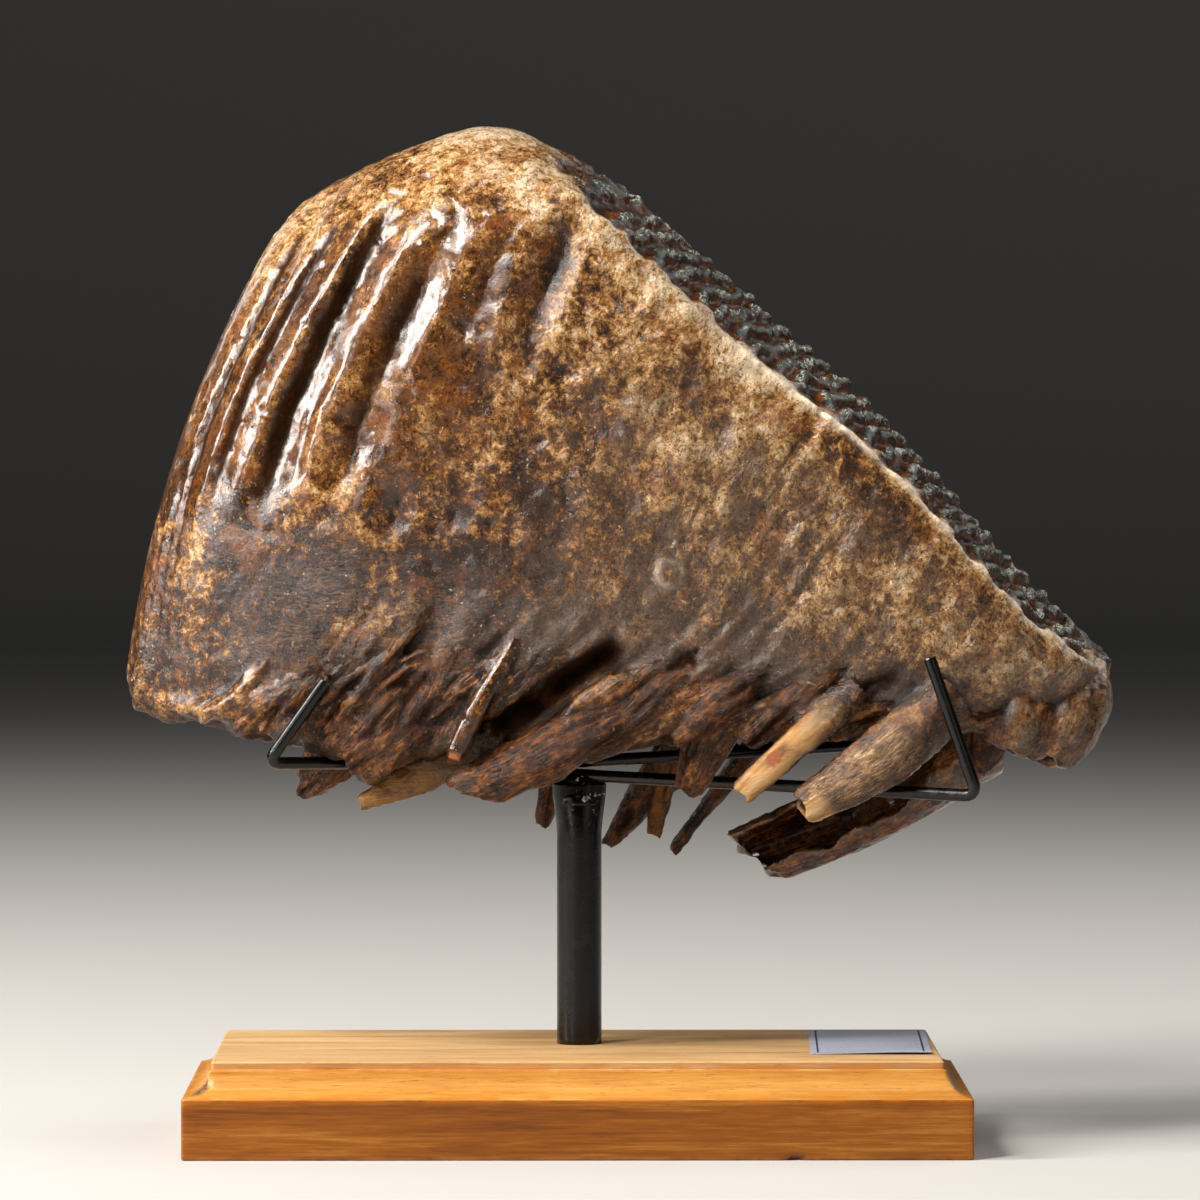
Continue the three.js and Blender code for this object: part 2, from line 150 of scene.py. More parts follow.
@dataclass
class Shell:
    """A closed mesh in millimetres, with the values per corner that its finish reads."""

    points: np.ndarray
    faces: list[list[int]]
    values: dict[str, np.ndarray]

    @staticmethod
    def join(shells: list["Shell"]) -> "Shell":
        """Put several shells together.

        Args:
            shells: Shells that all hold the same values.

        Returns:
            One shell of them all, still unfused.
        """
        faces: list[list[int]] = []
        start = 0
        for shell in shells:
            faces += [[corner + start for corner in face] for face in shell.faces]
            start += len(shell.points)
        names = shells[0].values
        return Shell(
            np.concatenate([s.points for s in shells]),
            faces,
            {name: np.concatenate([s.values[name] for s in shells]) for name in names},
        )

    def to_object(self, name: str, smooth: bool = True) -> bpy.types.Object:
        """Make the mesh object.

        Args:
            name: The piece's name.
            smooth: Whether its faces are shaded smooth.

        Returns:
            The new object, in metres, linked to the scene.
        """
        mesh = bpy.data.meshes.new(name)
        mesh.from_pydata((self.points * MM).tolist(), [], self.faces)
        mesh.validate()
        write_values(mesh, self.values)
        if smooth:
            mesh.shade_smooth()
        made = bpy.data.objects.new(name, mesh)
        bpy.context.scene.collection.objects.link(made)
        return made


def write_values(mesh: bpy.types.Mesh, values: dict[str, np.ndarray]) -> None:
    """Store values per corner as attributes of a mesh.

    Args:
        mesh: The mesh that takes them.
        values: Arrays of n numbers, or of n by 3 for a vector.
    """
    for name, numbers in values.items():
        kind, field = ("FLOAT", "value") if numbers.ndim == 1 else ("FLOAT_VECTOR", "vector")
        stored = mesh.attributes.new(name, kind, "POINT")
        stored.data.foreach_set(field, numbers.astype(np.float32).ravel())


def read_points(mesh: bpy.types.Mesh) -> np.ndarray:
    """Read a mesh's corners.

    Args:
        mesh: The mesh to read.

    Returns:
        Their places in millimetres, as an (n, 3) array.
    """
    flat = np.empty(len(mesh.vertices) * 3, np.float32)
    mesh.vertices.foreach_get("co", flat)
    return flat.reshape(-1, 3).astype(float) / MM


def read_normals(mesh: bpy.types.Mesh) -> np.ndarray:
    """Read the normals at a mesh's corners.

    Args:
        mesh: The mesh to read.

    Returns:
        Unit vectors, as an (n, 3) array.
    """
    flat = np.empty(len(mesh.vertices) * 3, np.float32)
    mesh.vertex_normals.foreach_get("vector", flat)
    return flat.reshape(-1, 3).astype(float)


def write_points(mesh: bpy.types.Mesh, points: np.ndarray) -> None:
    """Move a mesh's corners to places given in millimetres."""
    mesh.vertices.foreach_set("co", (points * MM).astype(np.float32).ravel())
    mesh.update()


def ring_faces(rings: int, count: int, capped: bool = True) -> list[list[int]]:
    """Give the faces of a skin over rings.

    Args:
        rings: How many rings there are.
        count: How many corners each ring has.
        capped: Whether a fan closes each end, over one more corner for each.

    Returns:
        Faces that look outward where the rings turn anticlockwise about their line.
    """
    start = np.arange(rings - 1)[:, None] * count
    here = np.arange(count)
    after = (here + 1) % count
    quads = np.stack([start + here, start + after, start + after + count, start + here + count], -1)
    faces = quads.reshape(-1, 4).tolist()
    if capped:
        first, last = rings * count, rings * count + 1
        end = (rings - 1) * count
        faces += [[first, int(b), int(a)] for a, b in zip(here, after)]
        faces += [[last, end + int(a), end + int(b)] for a, b in zip(here, after)]
    return faces


def capped_points(rings: np.ndarray) -> np.ndarray:
    """Return rings of shape (r, c, 3) as one list of corners, with the two end centres last."""
    return np.concatenate([rings.reshape(-1, 3), rings[[0, -1]].mean(axis=1)])


def line_frames(line: np.ndarray, side: tuple[float, float, float]) -> tuple[np.ndarray, ...]:
    """Find the directions along and across a line.

    Args:
        line: An (n, 3) array of places along it.
        side: The direction that its sideways arms stay near.

    Returns:
        Unit vectors along the line, sideways and upward, each an (n, 3) array.
    """
    along = np.gradient(line, axis=0)
    along /= np.linalg.norm(along, axis=1, keepdims=True)
    sideways = np.asarray(side, float) - along * (along @ np.asarray(side, float))[:, None]
    sideways /= np.linalg.norm(sideways, axis=1, keepdims=True)
    return along, sideways, np.cross(sideways, along)


def dress(piece: bpy.types.Object, node: str, finish: bpy.types.Material) -> None:
    """Let a piece stand for a node of the frame.

    Args:
        piece: The finished mesh object.
        node: The node that it replaces.
        finish: Its material.
    """
    piece.data.materials.clear()
    piece.data.materials.append(finish)
    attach(piece, ROOT_BODY)
    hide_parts(node)
    triangles = sum(len(face.vertices) - 2 for face in piece.data.polygons)
    LOG.info("%s: %d triangles, stands for %s", piece.name, triangles, node)


class Finish:
    """A material that is built up node by node on one glossy or matt shader."""

    def __init__(self, name: str) -> None:
        """Start an empty material.

        Args:
            name: The finish's name.
        """
        self.material = bpy.data.materials.new(name)
        self.material.use_nodes = True
        self._tree = self.material.node_tree
        self._tree.nodes.clear()
        output = self._tree.nodes.new("ShaderNodeOutputMaterial")
        self.shader = self._tree.nodes.new("ShaderNodeBsdfPrincipled")
        self._tree.links.new(self.shader.outputs[0], output.inputs[0])
        self._place = self._tree.nodes.new("ShaderNodeTexCoord").outputs["Object"]

    def _put(self, socket: bpy.types.NodeSocket, value: object) -> None:
        """Link or set a socket.

        Args:
            socket: The socket that takes the value.
            value: A socket to link from, a colour or a number.
        """
        if isinstance(value, bpy.types.NodeSocket):
            self._tree.links.new(value, socket)
        elif isinstance(value, tuple) and len(value) == 3 and socket.type == "RGBA":
            socket.default_value = (*value, 1.0)
        else:
            socket.default_value = value

    def set(self, **values: object) -> None:
        """Set or link the shader's inputs, whose names have _ for a space."""
        for name, value in values.items():
            self._put(self.shader.inputs[name.replace("_", " ")], value)

    def value(self, name: str) -> bpy.types.NodeSocket:
        """Read a number that the mesh stores per corner.

        Args:
            name: The number's name.

        Returns:
            The number.
        """
        node = self._tree.nodes.new("ShaderNodeAttribute")
        node.attribute_name = name
        return node.outputs["Fac"]

    def vector(self, name: str) -> bpy.types.NodeSocket:
        """Read a vector that the mesh stores per corner.

        Args:
            name: The vector's name.

        Returns:
            The vector.
        """
        node = self._tree.nodes.new("ShaderNodeAttribute")
        node.attribute_name = name
        return node.outputs["Vector"]

    def stretched(self, place: bpy.types.NodeSocket | None, lumps: Colour) -> bpy.types.NodeSocket:
        """Give texture coordinates in which one unit is one lump.

        Args:
            place: Coordinates in metres, or None for the object's own.
            lumps: The lump's size along each axis, in millimetres.

        Returns:
            The scaled coordinates.
        """
        node = self._tree.nodes.new("ShaderNodeMapping")
        self._put(node.inputs["Vector"], place or self._place)
        node.inputs["Scale"].default_value = [1 / (size * MM) for size in lumps]
        return node.outputs[0]

    def noise(
        self,
        size: float | Colour,
        detail: float = 3,
        roughness: float = 0.55,
        warp: float = 0,
        place: bpy.types.NodeSocket | None = None,
    ) -> bpy.types.NodeSocket:
        """Return cloudy noise from 0 to 1.

        Args:
            size: The lumps' size in millimetres, one number or one for each axis.
            detail: How many finer layers it has.
            roughness: How strong the finer layers are.
            warp: How far it is twisted out of shape.
            place: Coordinates in metres, or None for the object's own.

        Returns:
            The noise.
        """
        lumps = size if isinstance(size, tuple) else (size, size, size)
        node = self._tree.nodes.new("ShaderNodeTexNoise")
        self._put(node.inputs["Vector"], self.stretched(place, lumps))
        node.inputs["Scale"].default_value = 1
        node.inputs["Detail"].default_value = detail
        node.inputs["Roughness"].default_value = roughness
        node.inputs["Distortion"].default_value = warp
        return node.outputs["Fac"]

    def math(self, kind: str, a: object, b: object = 0.0) -> bpy.types.NodeSocket:
        """Take one arithmetic step.

        Args:
            kind: Blender's name of the step.
            a: The first number.
            b: The second number, if it has one.

        Returns:
            The result.
        """
        node = self._tree.nodes.new("ShaderNodeMath")
        node.operation = kind
        self._put(node.inputs[0], a)
        self._put(node.inputs[1], b)
        return node.outputs[0]

    def times(self, a: object, b: object) -> bpy.types.NodeSocket:
        """Return a times b."""
        return self.math("MULTIPLY", a, b)

    def plus(self, a: object, b: object) -> bpy.types.NodeSocket:
        """Return a plus b."""
        return self.math("ADD", a, b)

    def minus(self, a: object, b: object) -> bpy.types.NodeSocket:
        """Return a minus b."""
        return self.math("SUBTRACT", a, b)

    def between(self, value: object, start: float, end: float) -> bpy.types.NodeSocket:
        """Rise smoothly from 0 to 1.

        Args:
            value: The number that decides.
            start: Where the result is 0.
            end: Where the result is 1.

        Returns:
            The result, held at 0 and 1 beyond them.
        """
        node = self._tree.nodes.new("ShaderNodeMapRange")
        node.interpolation_type = "SMOOTHSTEP"
        falling = start > end
        self._put(node.inputs["Value"], value)
        node.inputs["From Min"].default_value = end if falling else start
        node.inputs["From Max"].default_value = start if falling else end
        node.inputs["To Min"].default_value = 1.0 if falling else 0.0
        node.inputs["To Max"].default_value = 0.0 if falling else 1.0
        return node.outputs["Result"]

    def ramp(self, value: object, stops: list[tuple[float, Colour]]) -> bpy.types.NodeSocket:
        """Turn a number into a colour.

        Args:
            value: The number.
            stops: Rising places with their colours.

        Returns:
            The colour.
        """
        node = self._tree.nodes.new("ShaderNodeValToRGB")
        self._put(node.inputs[0], value)
        bar = node.color_ramp.elements
        while len(bar) < len(stops):
            bar.new(0.5)
        for element, (place, colour) in zip(bar, stops):
            element.position = place
            element.color = (*colour, 1.0)
        return node.outputs["Color"]

    def over(self, base: object, share: object, top: object) -> bpy.types.NodeSocket:
        """Lay one colour over another.

        Args:
            base: The colour below.
            share: How strongly the top one shows, 0 to 1.
            top: The colour above.

        Returns:
            The blended colour.
        """
        node = self._tree.nodes.new("ShaderNodeMix")
        node.data_type = "RGBA"
        self._put(node.inputs["Factor"], share)
        colours = [socket for socket in node.inputs if socket.type == "RGBA"]
        self._put(colours[0], base)
        self._put(colours[1], top)
        return next(socket for socket in node.outputs if socket.type == "RGBA")

    def bump(
        self, height: object, depth: float, strength: object = 1.0, under: object | None = None
    ) -> bpy.types.NodeSocket:
        """Turn a height into relief.

        Args:
            height: A number from 0 to 1.
            depth: How many millimetres a height of 1 stands for.
            strength: How much of it shows.
            under: A normal that it adds to.

        Returns:
            The new normal.
        """
        node = self._tree.nodes.new("ShaderNodeBump")
        self._put(node.inputs["Strength"], strength)
        node.inputs["Distance"].default_value = depth * MM
        self._put(node.inputs["Height"], height)
        if under is not None:
            self._put(node.inputs["Normal"], under)
        return node.outputs[0]


@dataclass(frozen=True)
class ToothFinish:
    """Varnished mineralised tooth: ochre and rust mottling, grooves darkened by dirt and painted shade,
    slate enamel.
    """

    umber: Colour = (0.016, 0.005, 0.0010)
    brown: Colour = (0.054, 0.018, 0.0035)
    rust: Colour = (0.175, 0.046, 0.005)
    russet: Colour = (0.132, 0.050, 0.009)
    ochre: Colour = (0.250, 0.112, 0.024)
    tan: Colour = (0.375, 0.205, 0.072)
    cream: Colour = (0.520, 0.390, 0.245)
    mauve: Colour = (0.078, 0.044, 0.027)
    ruddy: Colour = (0.140, 0.058, 0.022)
    painted_sheen: Colour = (0.160, 0.108, 0.074)
    stone: Colour = (0.170, 0.112, 0.072)
    black: Colour = (0.004, 0.002, 0.0010)
    slate: Colour = (0.026, 0.030, 0.028)
    dull: Colour = (0.095, 0.098, 0.084)
    chip: Colour = (0.520, 0.530, 0.430)
    pale: Colour = (0.800, 0.660, 0.500)
    ivory: Colour = (0.480, 0.235, 0.060)
    amber: Colour = (0.230, 0.090, 0.008)
    window: Colour = (0.260, 0.060, 0.006)
    roughness: float = 0.42
    body_gloss: float = 0.02
    varnish: float = 1.0
    varnish_roughness: float = 0.17
    varnish_ior: float = 1.50

    def _side_colour(
        self, f: Finish, skin: bpy.types.NodeSocket, wrinkles: bpy.types.NodeSocket
    ) -> bpy.types.NodeSocket:
        """Mix the colours of the crown's sides.

        Args:
            f: The finish that takes the nodes.
            skin: The ripples of the band low down, which carry its painted sheen.
            wrinkles: The fine creases along the folds.

        Returns:
            The colour.
        """
        grain = f.vector("grain")
        clouds = f.noise(34, 3, 0.6, 0.8)
        blotches = f.noise(11, 5, 0.75, 0.7)
        speckle = f.noise(2.8, 6, 0.82, 0.4)
        tone = f.plus(f.times(clouds, 0.8), f.times(blotches, 0.75))
        tone = f.plus(tone, f.times(speckle, 1.35))
        tone = f.plus(tone, f.times(f.value("light"), 0.17))
        tone = f.minus(tone, f.times(f.value("ribbed"), 0.10))
        tone = f.minus(tone, f.times(f.value("low"), 0.17))
        # Painted shade: measured hollows are made a little darker.
        tone = f.minus(tone, f.times(f.value("hollow"), 0.07))
        colour = f.ramp(f.minus(tone, 0.93), [
            (0.36, self.umber), (0.45, self.brown), (0.52, self.russet), (0.58, self.ochre),
            (0.66, self.tan), (0.78, self.cream),
        ])
        # Painted sheen: pale grey-mauve on the ripple crests and black in their troughs stand in for a
        # soft light's reflection on the low band.
        wet = f.ramp(skin, [(0.42, self.black), (0.48, self.umber), (0.54, self.ruddy),
                            (0.62, self.painted_sheen)])
        patchy = f.between(f.noise(12, 5, 0.75), 0.42, 0.58)
        colour = f.over(colour, f.times(f.times(f.value("low"), 0.6), patchy), wet)
        ruddy = f.times(f.value("ribbed"), f.between(f.noise(6, 5, 0.75), 0.36, 0.60))
        colour = f.over(colour, f.times(ruddy, 0.6), self.ruddy)
        rusty = f.between(f.noise(15, 5, 0.72, 1.0), 0.52, 0.66)
        colour = f.over(colour, f.times(rusty, 0.55), self.rust)
        streaks = f.between(f.noise((8, 34, 12), 6, 0.68, 0.9, grain), 0.49, 0.58)
        streaky = f.times(streaks, f.value("streaky"))
        colour = f.over(colour, f.times(f.value("streaky"), 0.30), self.stone)
        colour = f.over(colour, f.times(streaky, 0.85), self.mauve)
        # The folds' colour follows the same wrinkles as their relief: over their own browns, black and
        # umber in the troughs are painted shade, and the tan on the crests is partly painted light.
        folds = f.plus(f.times(wrinkles, 0.55), f.times(blotches, 0.45))
        folds = f.ramp(folds, [(0.42, self.black), (0.47, self.umber), (0.505, self.brown),
                               (0.545, self.rust), (0.61, self.ochre), (0.68, self.tan)])
        colour = f.over(colour, f.times(f.value("creased"), 0.8), folds)
        grains = f.between(f.noise(1.0, 3, 0.8), 0.52, 0.62)
        colour = f.over(colour, f.times(grains, 0.75), self.umber)
        grits = f.between(f.noise((1.1, 1.2, 1.3), 2, 0.6), 0.66, 0.74)
        colour = f.over(colour, f.times(grits, 0.7), self.tan)
        flakes = f.between(f.noise(5.0, 4, 0.75, 2.0), 0.665, 0.70)
        return f.over(colour, f.times(flakes, 0.8), self.cream)

    def _face_colour(self, f: Finish) -> bpy.types.NodeSocket:
        """Mix the colours of the chewing face: slate enamel on brown.

        Args:
            f: The finish that takes the nodes.

        Returns:
            The colour.
        """
        ground = f.ramp(f.noise((2.2, 9, 2.2), 5, 0.8, 0.6), [
            (0.36, self.black), (0.48, self.brown), (0.58, self.rust), (0.70, self.ochre),
        ])
        worn = f.plus(f.times(f.value("enamel"), 0.6), f.times(f.noise((2.4, 7, 2.4), 4, 0.7), 0.6))
        plates = f.ramp(worn, [(0.66, self.black), (0.80, self.slate), (0.92, self.dull),
                               (1.0, self.chip)])
        curl = f.math("ABSOLUTE", f.minus(f.noise((2.0, 11, 2.0), 2, 0.5, 1.2), 0.5))
        where = f.between(f.noise((6, 14, 6), 3), 0.42, 0.55)
        curls = f.times(f.between(curl, 0.040, 0.016), where)
        plates = f.over(plates, curls, self.chip)
        ragged = f.plus(f.value("enamel"), f.times(f.noise(2.0, 4, 0.7), 0.9))
        return f.over(ground, f.between(ragged, 1.10, 1.25), plates)

    def _root_colours(self, f: Finish, colour: bpy.types.NodeSocket) -> bpy.types.NodeSocket:
        """Lay the colours of the roots over those of the crown.

        Args:
            f: The finish that takes the nodes.
            colour: The crown's colour.

        Returns:
            The colour of both.
        """
        grain = f.vector("grain")
        fibres = f.noise((0.9, 8, 0.9), 6, 0.78, 0.5, grain)
        mottled = f.plus(f.times(fibres, 0.5), f.times(f.noise(4.5, 6, 0.78, 0.6), 0.5))
        root = f.ramp(mottled, [(0.42, self.black), (0.47, self.umber), (0.51, self.brown),
                                (0.55, self.rust), (0.60, self.ochre), (0.69, self.cream)])
        colour = f.over(colour, f.times(f.value("root"), 0.85), root)
        hairs = f.plus(f.times(f.noise((0.6, 4, 0.6), 6, 0.8, 1.0, grain), 0.75),
                       f.times(f.noise(7, 3, 0.6), 0.25))
        bone = f.ramp(hairs, [(0.40, self.umber), (0.47, self.mauve), (0.54, self.ochre),
                              (0.62, self.cream)])
        colour = f.over(colour, f.value("fibrous"), bone)
        amber = f.ramp(f.noise(5, 4, 0.6), [(0.3, self.brown), (0.5, self.amber), (0.75, self.ochre)])
        colour = f.over(colour, f.value("amber"), amber)
        ivory = f.ramp(f.noise((3, 16, 3), 3, 0.5, 0.3, grain), [
            (0.3, self.russet), (0.46, self.ivory), (0.80, self.cream)])
        colour = f.over(colour, f.value("ivory"), ivory)
        glow = f.between(f.plus(f.value("window"), f.noise(1.6, 4, 0.7)), 0.8, 1.35)
        return f.over(colour, f.times(glow, f.between(f.value("window"), 0.05, 0.5)), self.window)

    def build(self) -> bpy.types.Material:
        """Put the finish together.

        Returns:
            The finished material.
        """
        f = Finish("tooth")
        edge = f.plus(f.value("face"), f.times(f.noise(4.5, 4, 0.7), 1.2))
        skin = f.noise((3.6, 3.6, 0.9), 5, 0.72, 1.4)
        wrinkles = f.noise((1.1, 6, 1.8), 4, 0.65, 0.5, f.vector("grain"))
        side = self._side_colour(f, skin, wrinkles)
        colour = f.over(side, f.between(edge, 0.95, 1.2), self._face_colour(f))
        # The pale line along the near top rim is partly the edge's own pale colour and partly a painted
        # highlight.
        colour = f.over(colour, f.value("rim"), self.pale)
        colour = self._root_colours(f, colour)
        # Dirt and painted shade: umber laid into the grooves, gaps between folds, furrows, pits and
        # underside that the cavity value marks.
        dirt_and_shade = f.plus(f.value("cavity"), f.times(f.noise(2.2, 5, 0.8), 0.6))
        colour = f.over(colour, f.times(f.between(dirt_and_shade, 0.45, 1.1), 0.88), self.umber)
        # Painted shade: black laid into the measured hollows, strongest where the surface lies deepest
        # below its smoothed self.
        deep = f.plus(f.value("hollow"), f.times(f.noise(2.5, 4, 0.7), 0.5))
        colour = f.over(colour, f.times(f.between(deep, 0.55, 2.2), 0.92), self.black)
        grain = f.noise(0.7, 4, 0.7)
        lumps = f.noise(2.2, 4, 0.65)
        relief = f.bump(lumps, 0.9, f.value("gritty"))
        creases = f.plus(f.times(f.value("creased"), 0.74), 0.26)
        relief = f.bump(wrinkles, 1.15, creases, relief)
        relief = f.bump(skin, 0.5, f.value("low"), relief)
        relief = f.bump(grain, 0.25, 0.7, relief)
        coat = f.bump(lumps, 0.45, f.times(f.value("gritty"), 0.8))
        coat = f.bump(wrinkles, 0.5, f.times(f.value("creased"), 0.8), coat)
        coat = f.bump(skin, 0.5, f.value("low"), coat)
        grained = f.times(f.between(f.value("gritty"), 0.3, 1.0), 0.667)
        coat = f.bump(grain, 0.18, f.plus(grained, 0.311), coat)
        varnish = f.times(f.between(f.value("face"), 1.8, 0.0), self.varnish)
        varnish = f.times(varnish, f.between(f.value("cavity"), 0.95, 0.2))
        varnish = f.times(varnish, f.between(f.value("creased"), 2.2, 0.0))
        f.set(Base_Color=colour, Roughness=self.roughness, Coat_Weight=varnish,
              Specular_IOR_Level=self.body_gloss, Coat_Roughness=self.varnish_roughness,
              Coat_IOR=self.varnish_ior, Normal=relief, Coat_Normal=coat)
        return f.material


@dataclass(frozen=True)
class SteelFinish:
    """Black paint on steel: satin, a little dusty, with bare chips where it was welded."""

    paint: Colour = (0.0015, 0.0012, 0.0011)
    worn: Colour = (0.016, 0.014, 0.012)
    bare: Colour = (0.420, 0.400, 0.370)
    roughness: float = 0.30
    gloss: float = 0.34

    def build(self) -> bpy.types.Material:
        """Put the finish together.

        Returns:
            The finished material.
        """
        f = Finish("black_steel")
        wear = f.between(f.noise(6, 4, 0.6), 0.5, 0.75)
        colour = f.over(self.paint, f.times(wear, 0.5), self.worn)
        chips = f.times(f.between(f.noise(2.2, 3, 0.6), 0.60, 0.66), f.value("bare"))
        colour = f.over(colour, chips, self.bare)
        rough = f.plus(f.times(wear, 0.2), self.roughness - 0.06)
        relief = f.bump(f.noise(0.8, 3, 0.6), 0.06, 0.5)
        relief = f.bump(f.noise(7, 2), 0.12, 0.35, relief)
        f.set(Base_Color=colour, Roughness=rough, Specular_IOR_Level=self.gloss, Normal=relief)
        return f.material


@dataclass(frozen=True)
class WoodFinish:
    """Yellow varnished softwood with fine straight grain; its upright sides are painted darker and
    browner as painted shade.
    """

    honey: Colour = (0.620, 0.370, 0.160)
    pale: Colour = (0.750, 0.500, 0.260)
    gold: Colour = (0.400, 0.170, 0.025)
    amber: Colour = (0.215, 0.062, 0.001)
    brown: Colour = (0.120, 0.030, 0.001)
    orange: Colour = (0.400, 0.125, 0.010)
    cove: tuple[Colour, ...] = (
        (0.340, 0.130, 0.018), (0.470, 0.210, 0.036), (0.560, 0.290, 0.070))
    bruise: Colour = (0.060, 0.022, 0.022)
    roughness: float = 0.38

    def build(self) -> bpy.types.Material:
        """Put the finish together.

        Returns:
            The finished material.
        """
        f = Finish("varnished_wood")
        rings = f.noise((75, 9, 5), 4, 0.6, 0.8)
        lines = f.noise((17, 0.9, 0.7), 5, 0.7, 0.3)
        pores = f.between(f.noise((3.5, 0.4, 0.35), 3, 0.6), 0.58, 0.72)
        tone = f.plus(f.times(rings, 0.5), f.times(lines, 0.5))
        top = f.ramp(tone, [(0.30, self.gold), (0.48, self.honey), (0.64, self.pale)])
        # Painted shade: the upright sides take a darker, browner copy of the top's colours.
        side = f.ramp(tone, [(0.34, self.brown), (0.52, self.amber), (0.74, self.gold)])
        cove = f.ramp(tone, list(zip((0.34, 0.52, 0.7), self.cove)))
        colour = f.over(top, f.value("side"), side)
        colour = f.over(colour, f.value("cove"), cove)
        colour = f.over(colour, f.times(pores, 0.5), self.brown)
        worn = f.times(f.value("edge"), f.between(f.noise(9, 3), 0.35, 0.6))
        colour = f.over(colour, f.times(worn, 0.8), self.orange)
        colour = f.over(colour, f.value("bruise"), self.bruise)
        relief = f.bump(lines, 0.10, 0.5)
        relief = f.bump(pores, 0.05, 0.6, relief)
        rough = f.plus(f.times(rings, 0.2), self.roughness - 0.08)
        f.set(Base_Color=colour, Roughness=rough, Specular_IOR_Level=0.2, Coat_Weight=0.3,
              Coat_Roughness=0.2, Coat_IOR=1.4, Normal=relief)
        return f.material


@dataclass(frozen=True)
class PaperFinish:
    """Smooth pale card, bare between thin dark ruled lines."""

    paper: Colour = (0.400, 0.415, 0.500)
    shade: Colour = (0.300, 0.315, 0.395)
    line: Colour = (0.030, 0.035, 0.075)
    roughness: float = 0.45

    def build(self) -> bpy.types.Material:
        """Put the finish together.

        Returns:
            The finished material.
        """
        f = Finish("label_card")
        fibres = f.noise(1.4, 4, 0.7)
        colour = f.over(self.paper, f.between(fibres, 0.4, 0.75), self.shade)
        colour = f.over(colour, f.between(f.value("ruled"), 0.45, 0.55), self.line)
        relief = f.bump(f.noise(0.5, 3, 0.6), 0.03, 0.4)
        f.set(Base_Color=colour, Roughness=self.roughness, Normal=relief)
        return f.material


@dataclass(frozen=True)
class StageFinish:
    """Matt paint of the studio floor and walls, pale in the middle and fading to dark grey further out
    as a painted falloff of light.
    """

    near: Colour = (0.46, 0.445, 0.425)
    painted_falloff: Colour = (0.10, 0.098, 0.095)

    def build(self) -> bpy.types.Material:
        """Put the finish together.

        Returns:
            The finished material.
        """
        f = Finish("pale_studio")
        # Painted falloff of light: the pale paint turns dark grey away from the middle.
        tint = f.over(self.near, f.value("painted_falloff"), self.painted_falloff)
        f.set(Base_Color=tint, Roughness=0.7)
        return f.material


@dataclass(frozen=True)
class GuidePlate:
    """One plate that the crown passes through: its centre line in the picture's plane."""

    plate: float
    foot: tuple[float, float]
    middle: tuple[float, float]
    crest: tuple[float, float]
    half_width: float


class Tint(Enum):
    """What a root is coloured like."""

    NONE = "none"
    DARK = "dark"
    SPIKE = "spike"
    LOBE = "lobe"
    FIBROUS = "fibrous"
    AMBER = "amber"
    IVORY = "ivory"


@dataclass(frozen=True)
class Horn:
    """A bent, tapering root through three places, with a broken end."""

    path: tuple[tuple[float, float, float], ...]
    across: tuple[float, float, float]
    deep: tuple[float, float, float]
    tint: Tint = Tint.DARK
    fibre: float = 2.6
    ridge: float = 0.9
    slant: float = 0
    low: float = 1
    light: float = 0
    gritty: float = 0.45
    creased: float = 1


FRONT_LOBE = {"tint": Tint.LOBE, "fibre": 5.0, "ridge": 0.8, "low": 0.2, "creased": 0.35, "gritty": 1}
VALUE_NAMES = (
    "face", "enamel", "rim", "root", "fibrous", "amber", "ivory", "window", "cavity", "light",
    "low", "streaky", "gritty", "ribbed", "inside", "creased",
)


def blank_values(count: int) -> dict[str, np.ndarray]:
    """Start the values of the tooth's finish.

    Args:
        count: How many corners they are for.

    Returns:
        Every value as zeros, and a zero grain vector.
    """
    values = {name: np.zeros(count) for name in VALUE_NAMES}
    values["grain"] = np.zeros((count, 3))
    return values


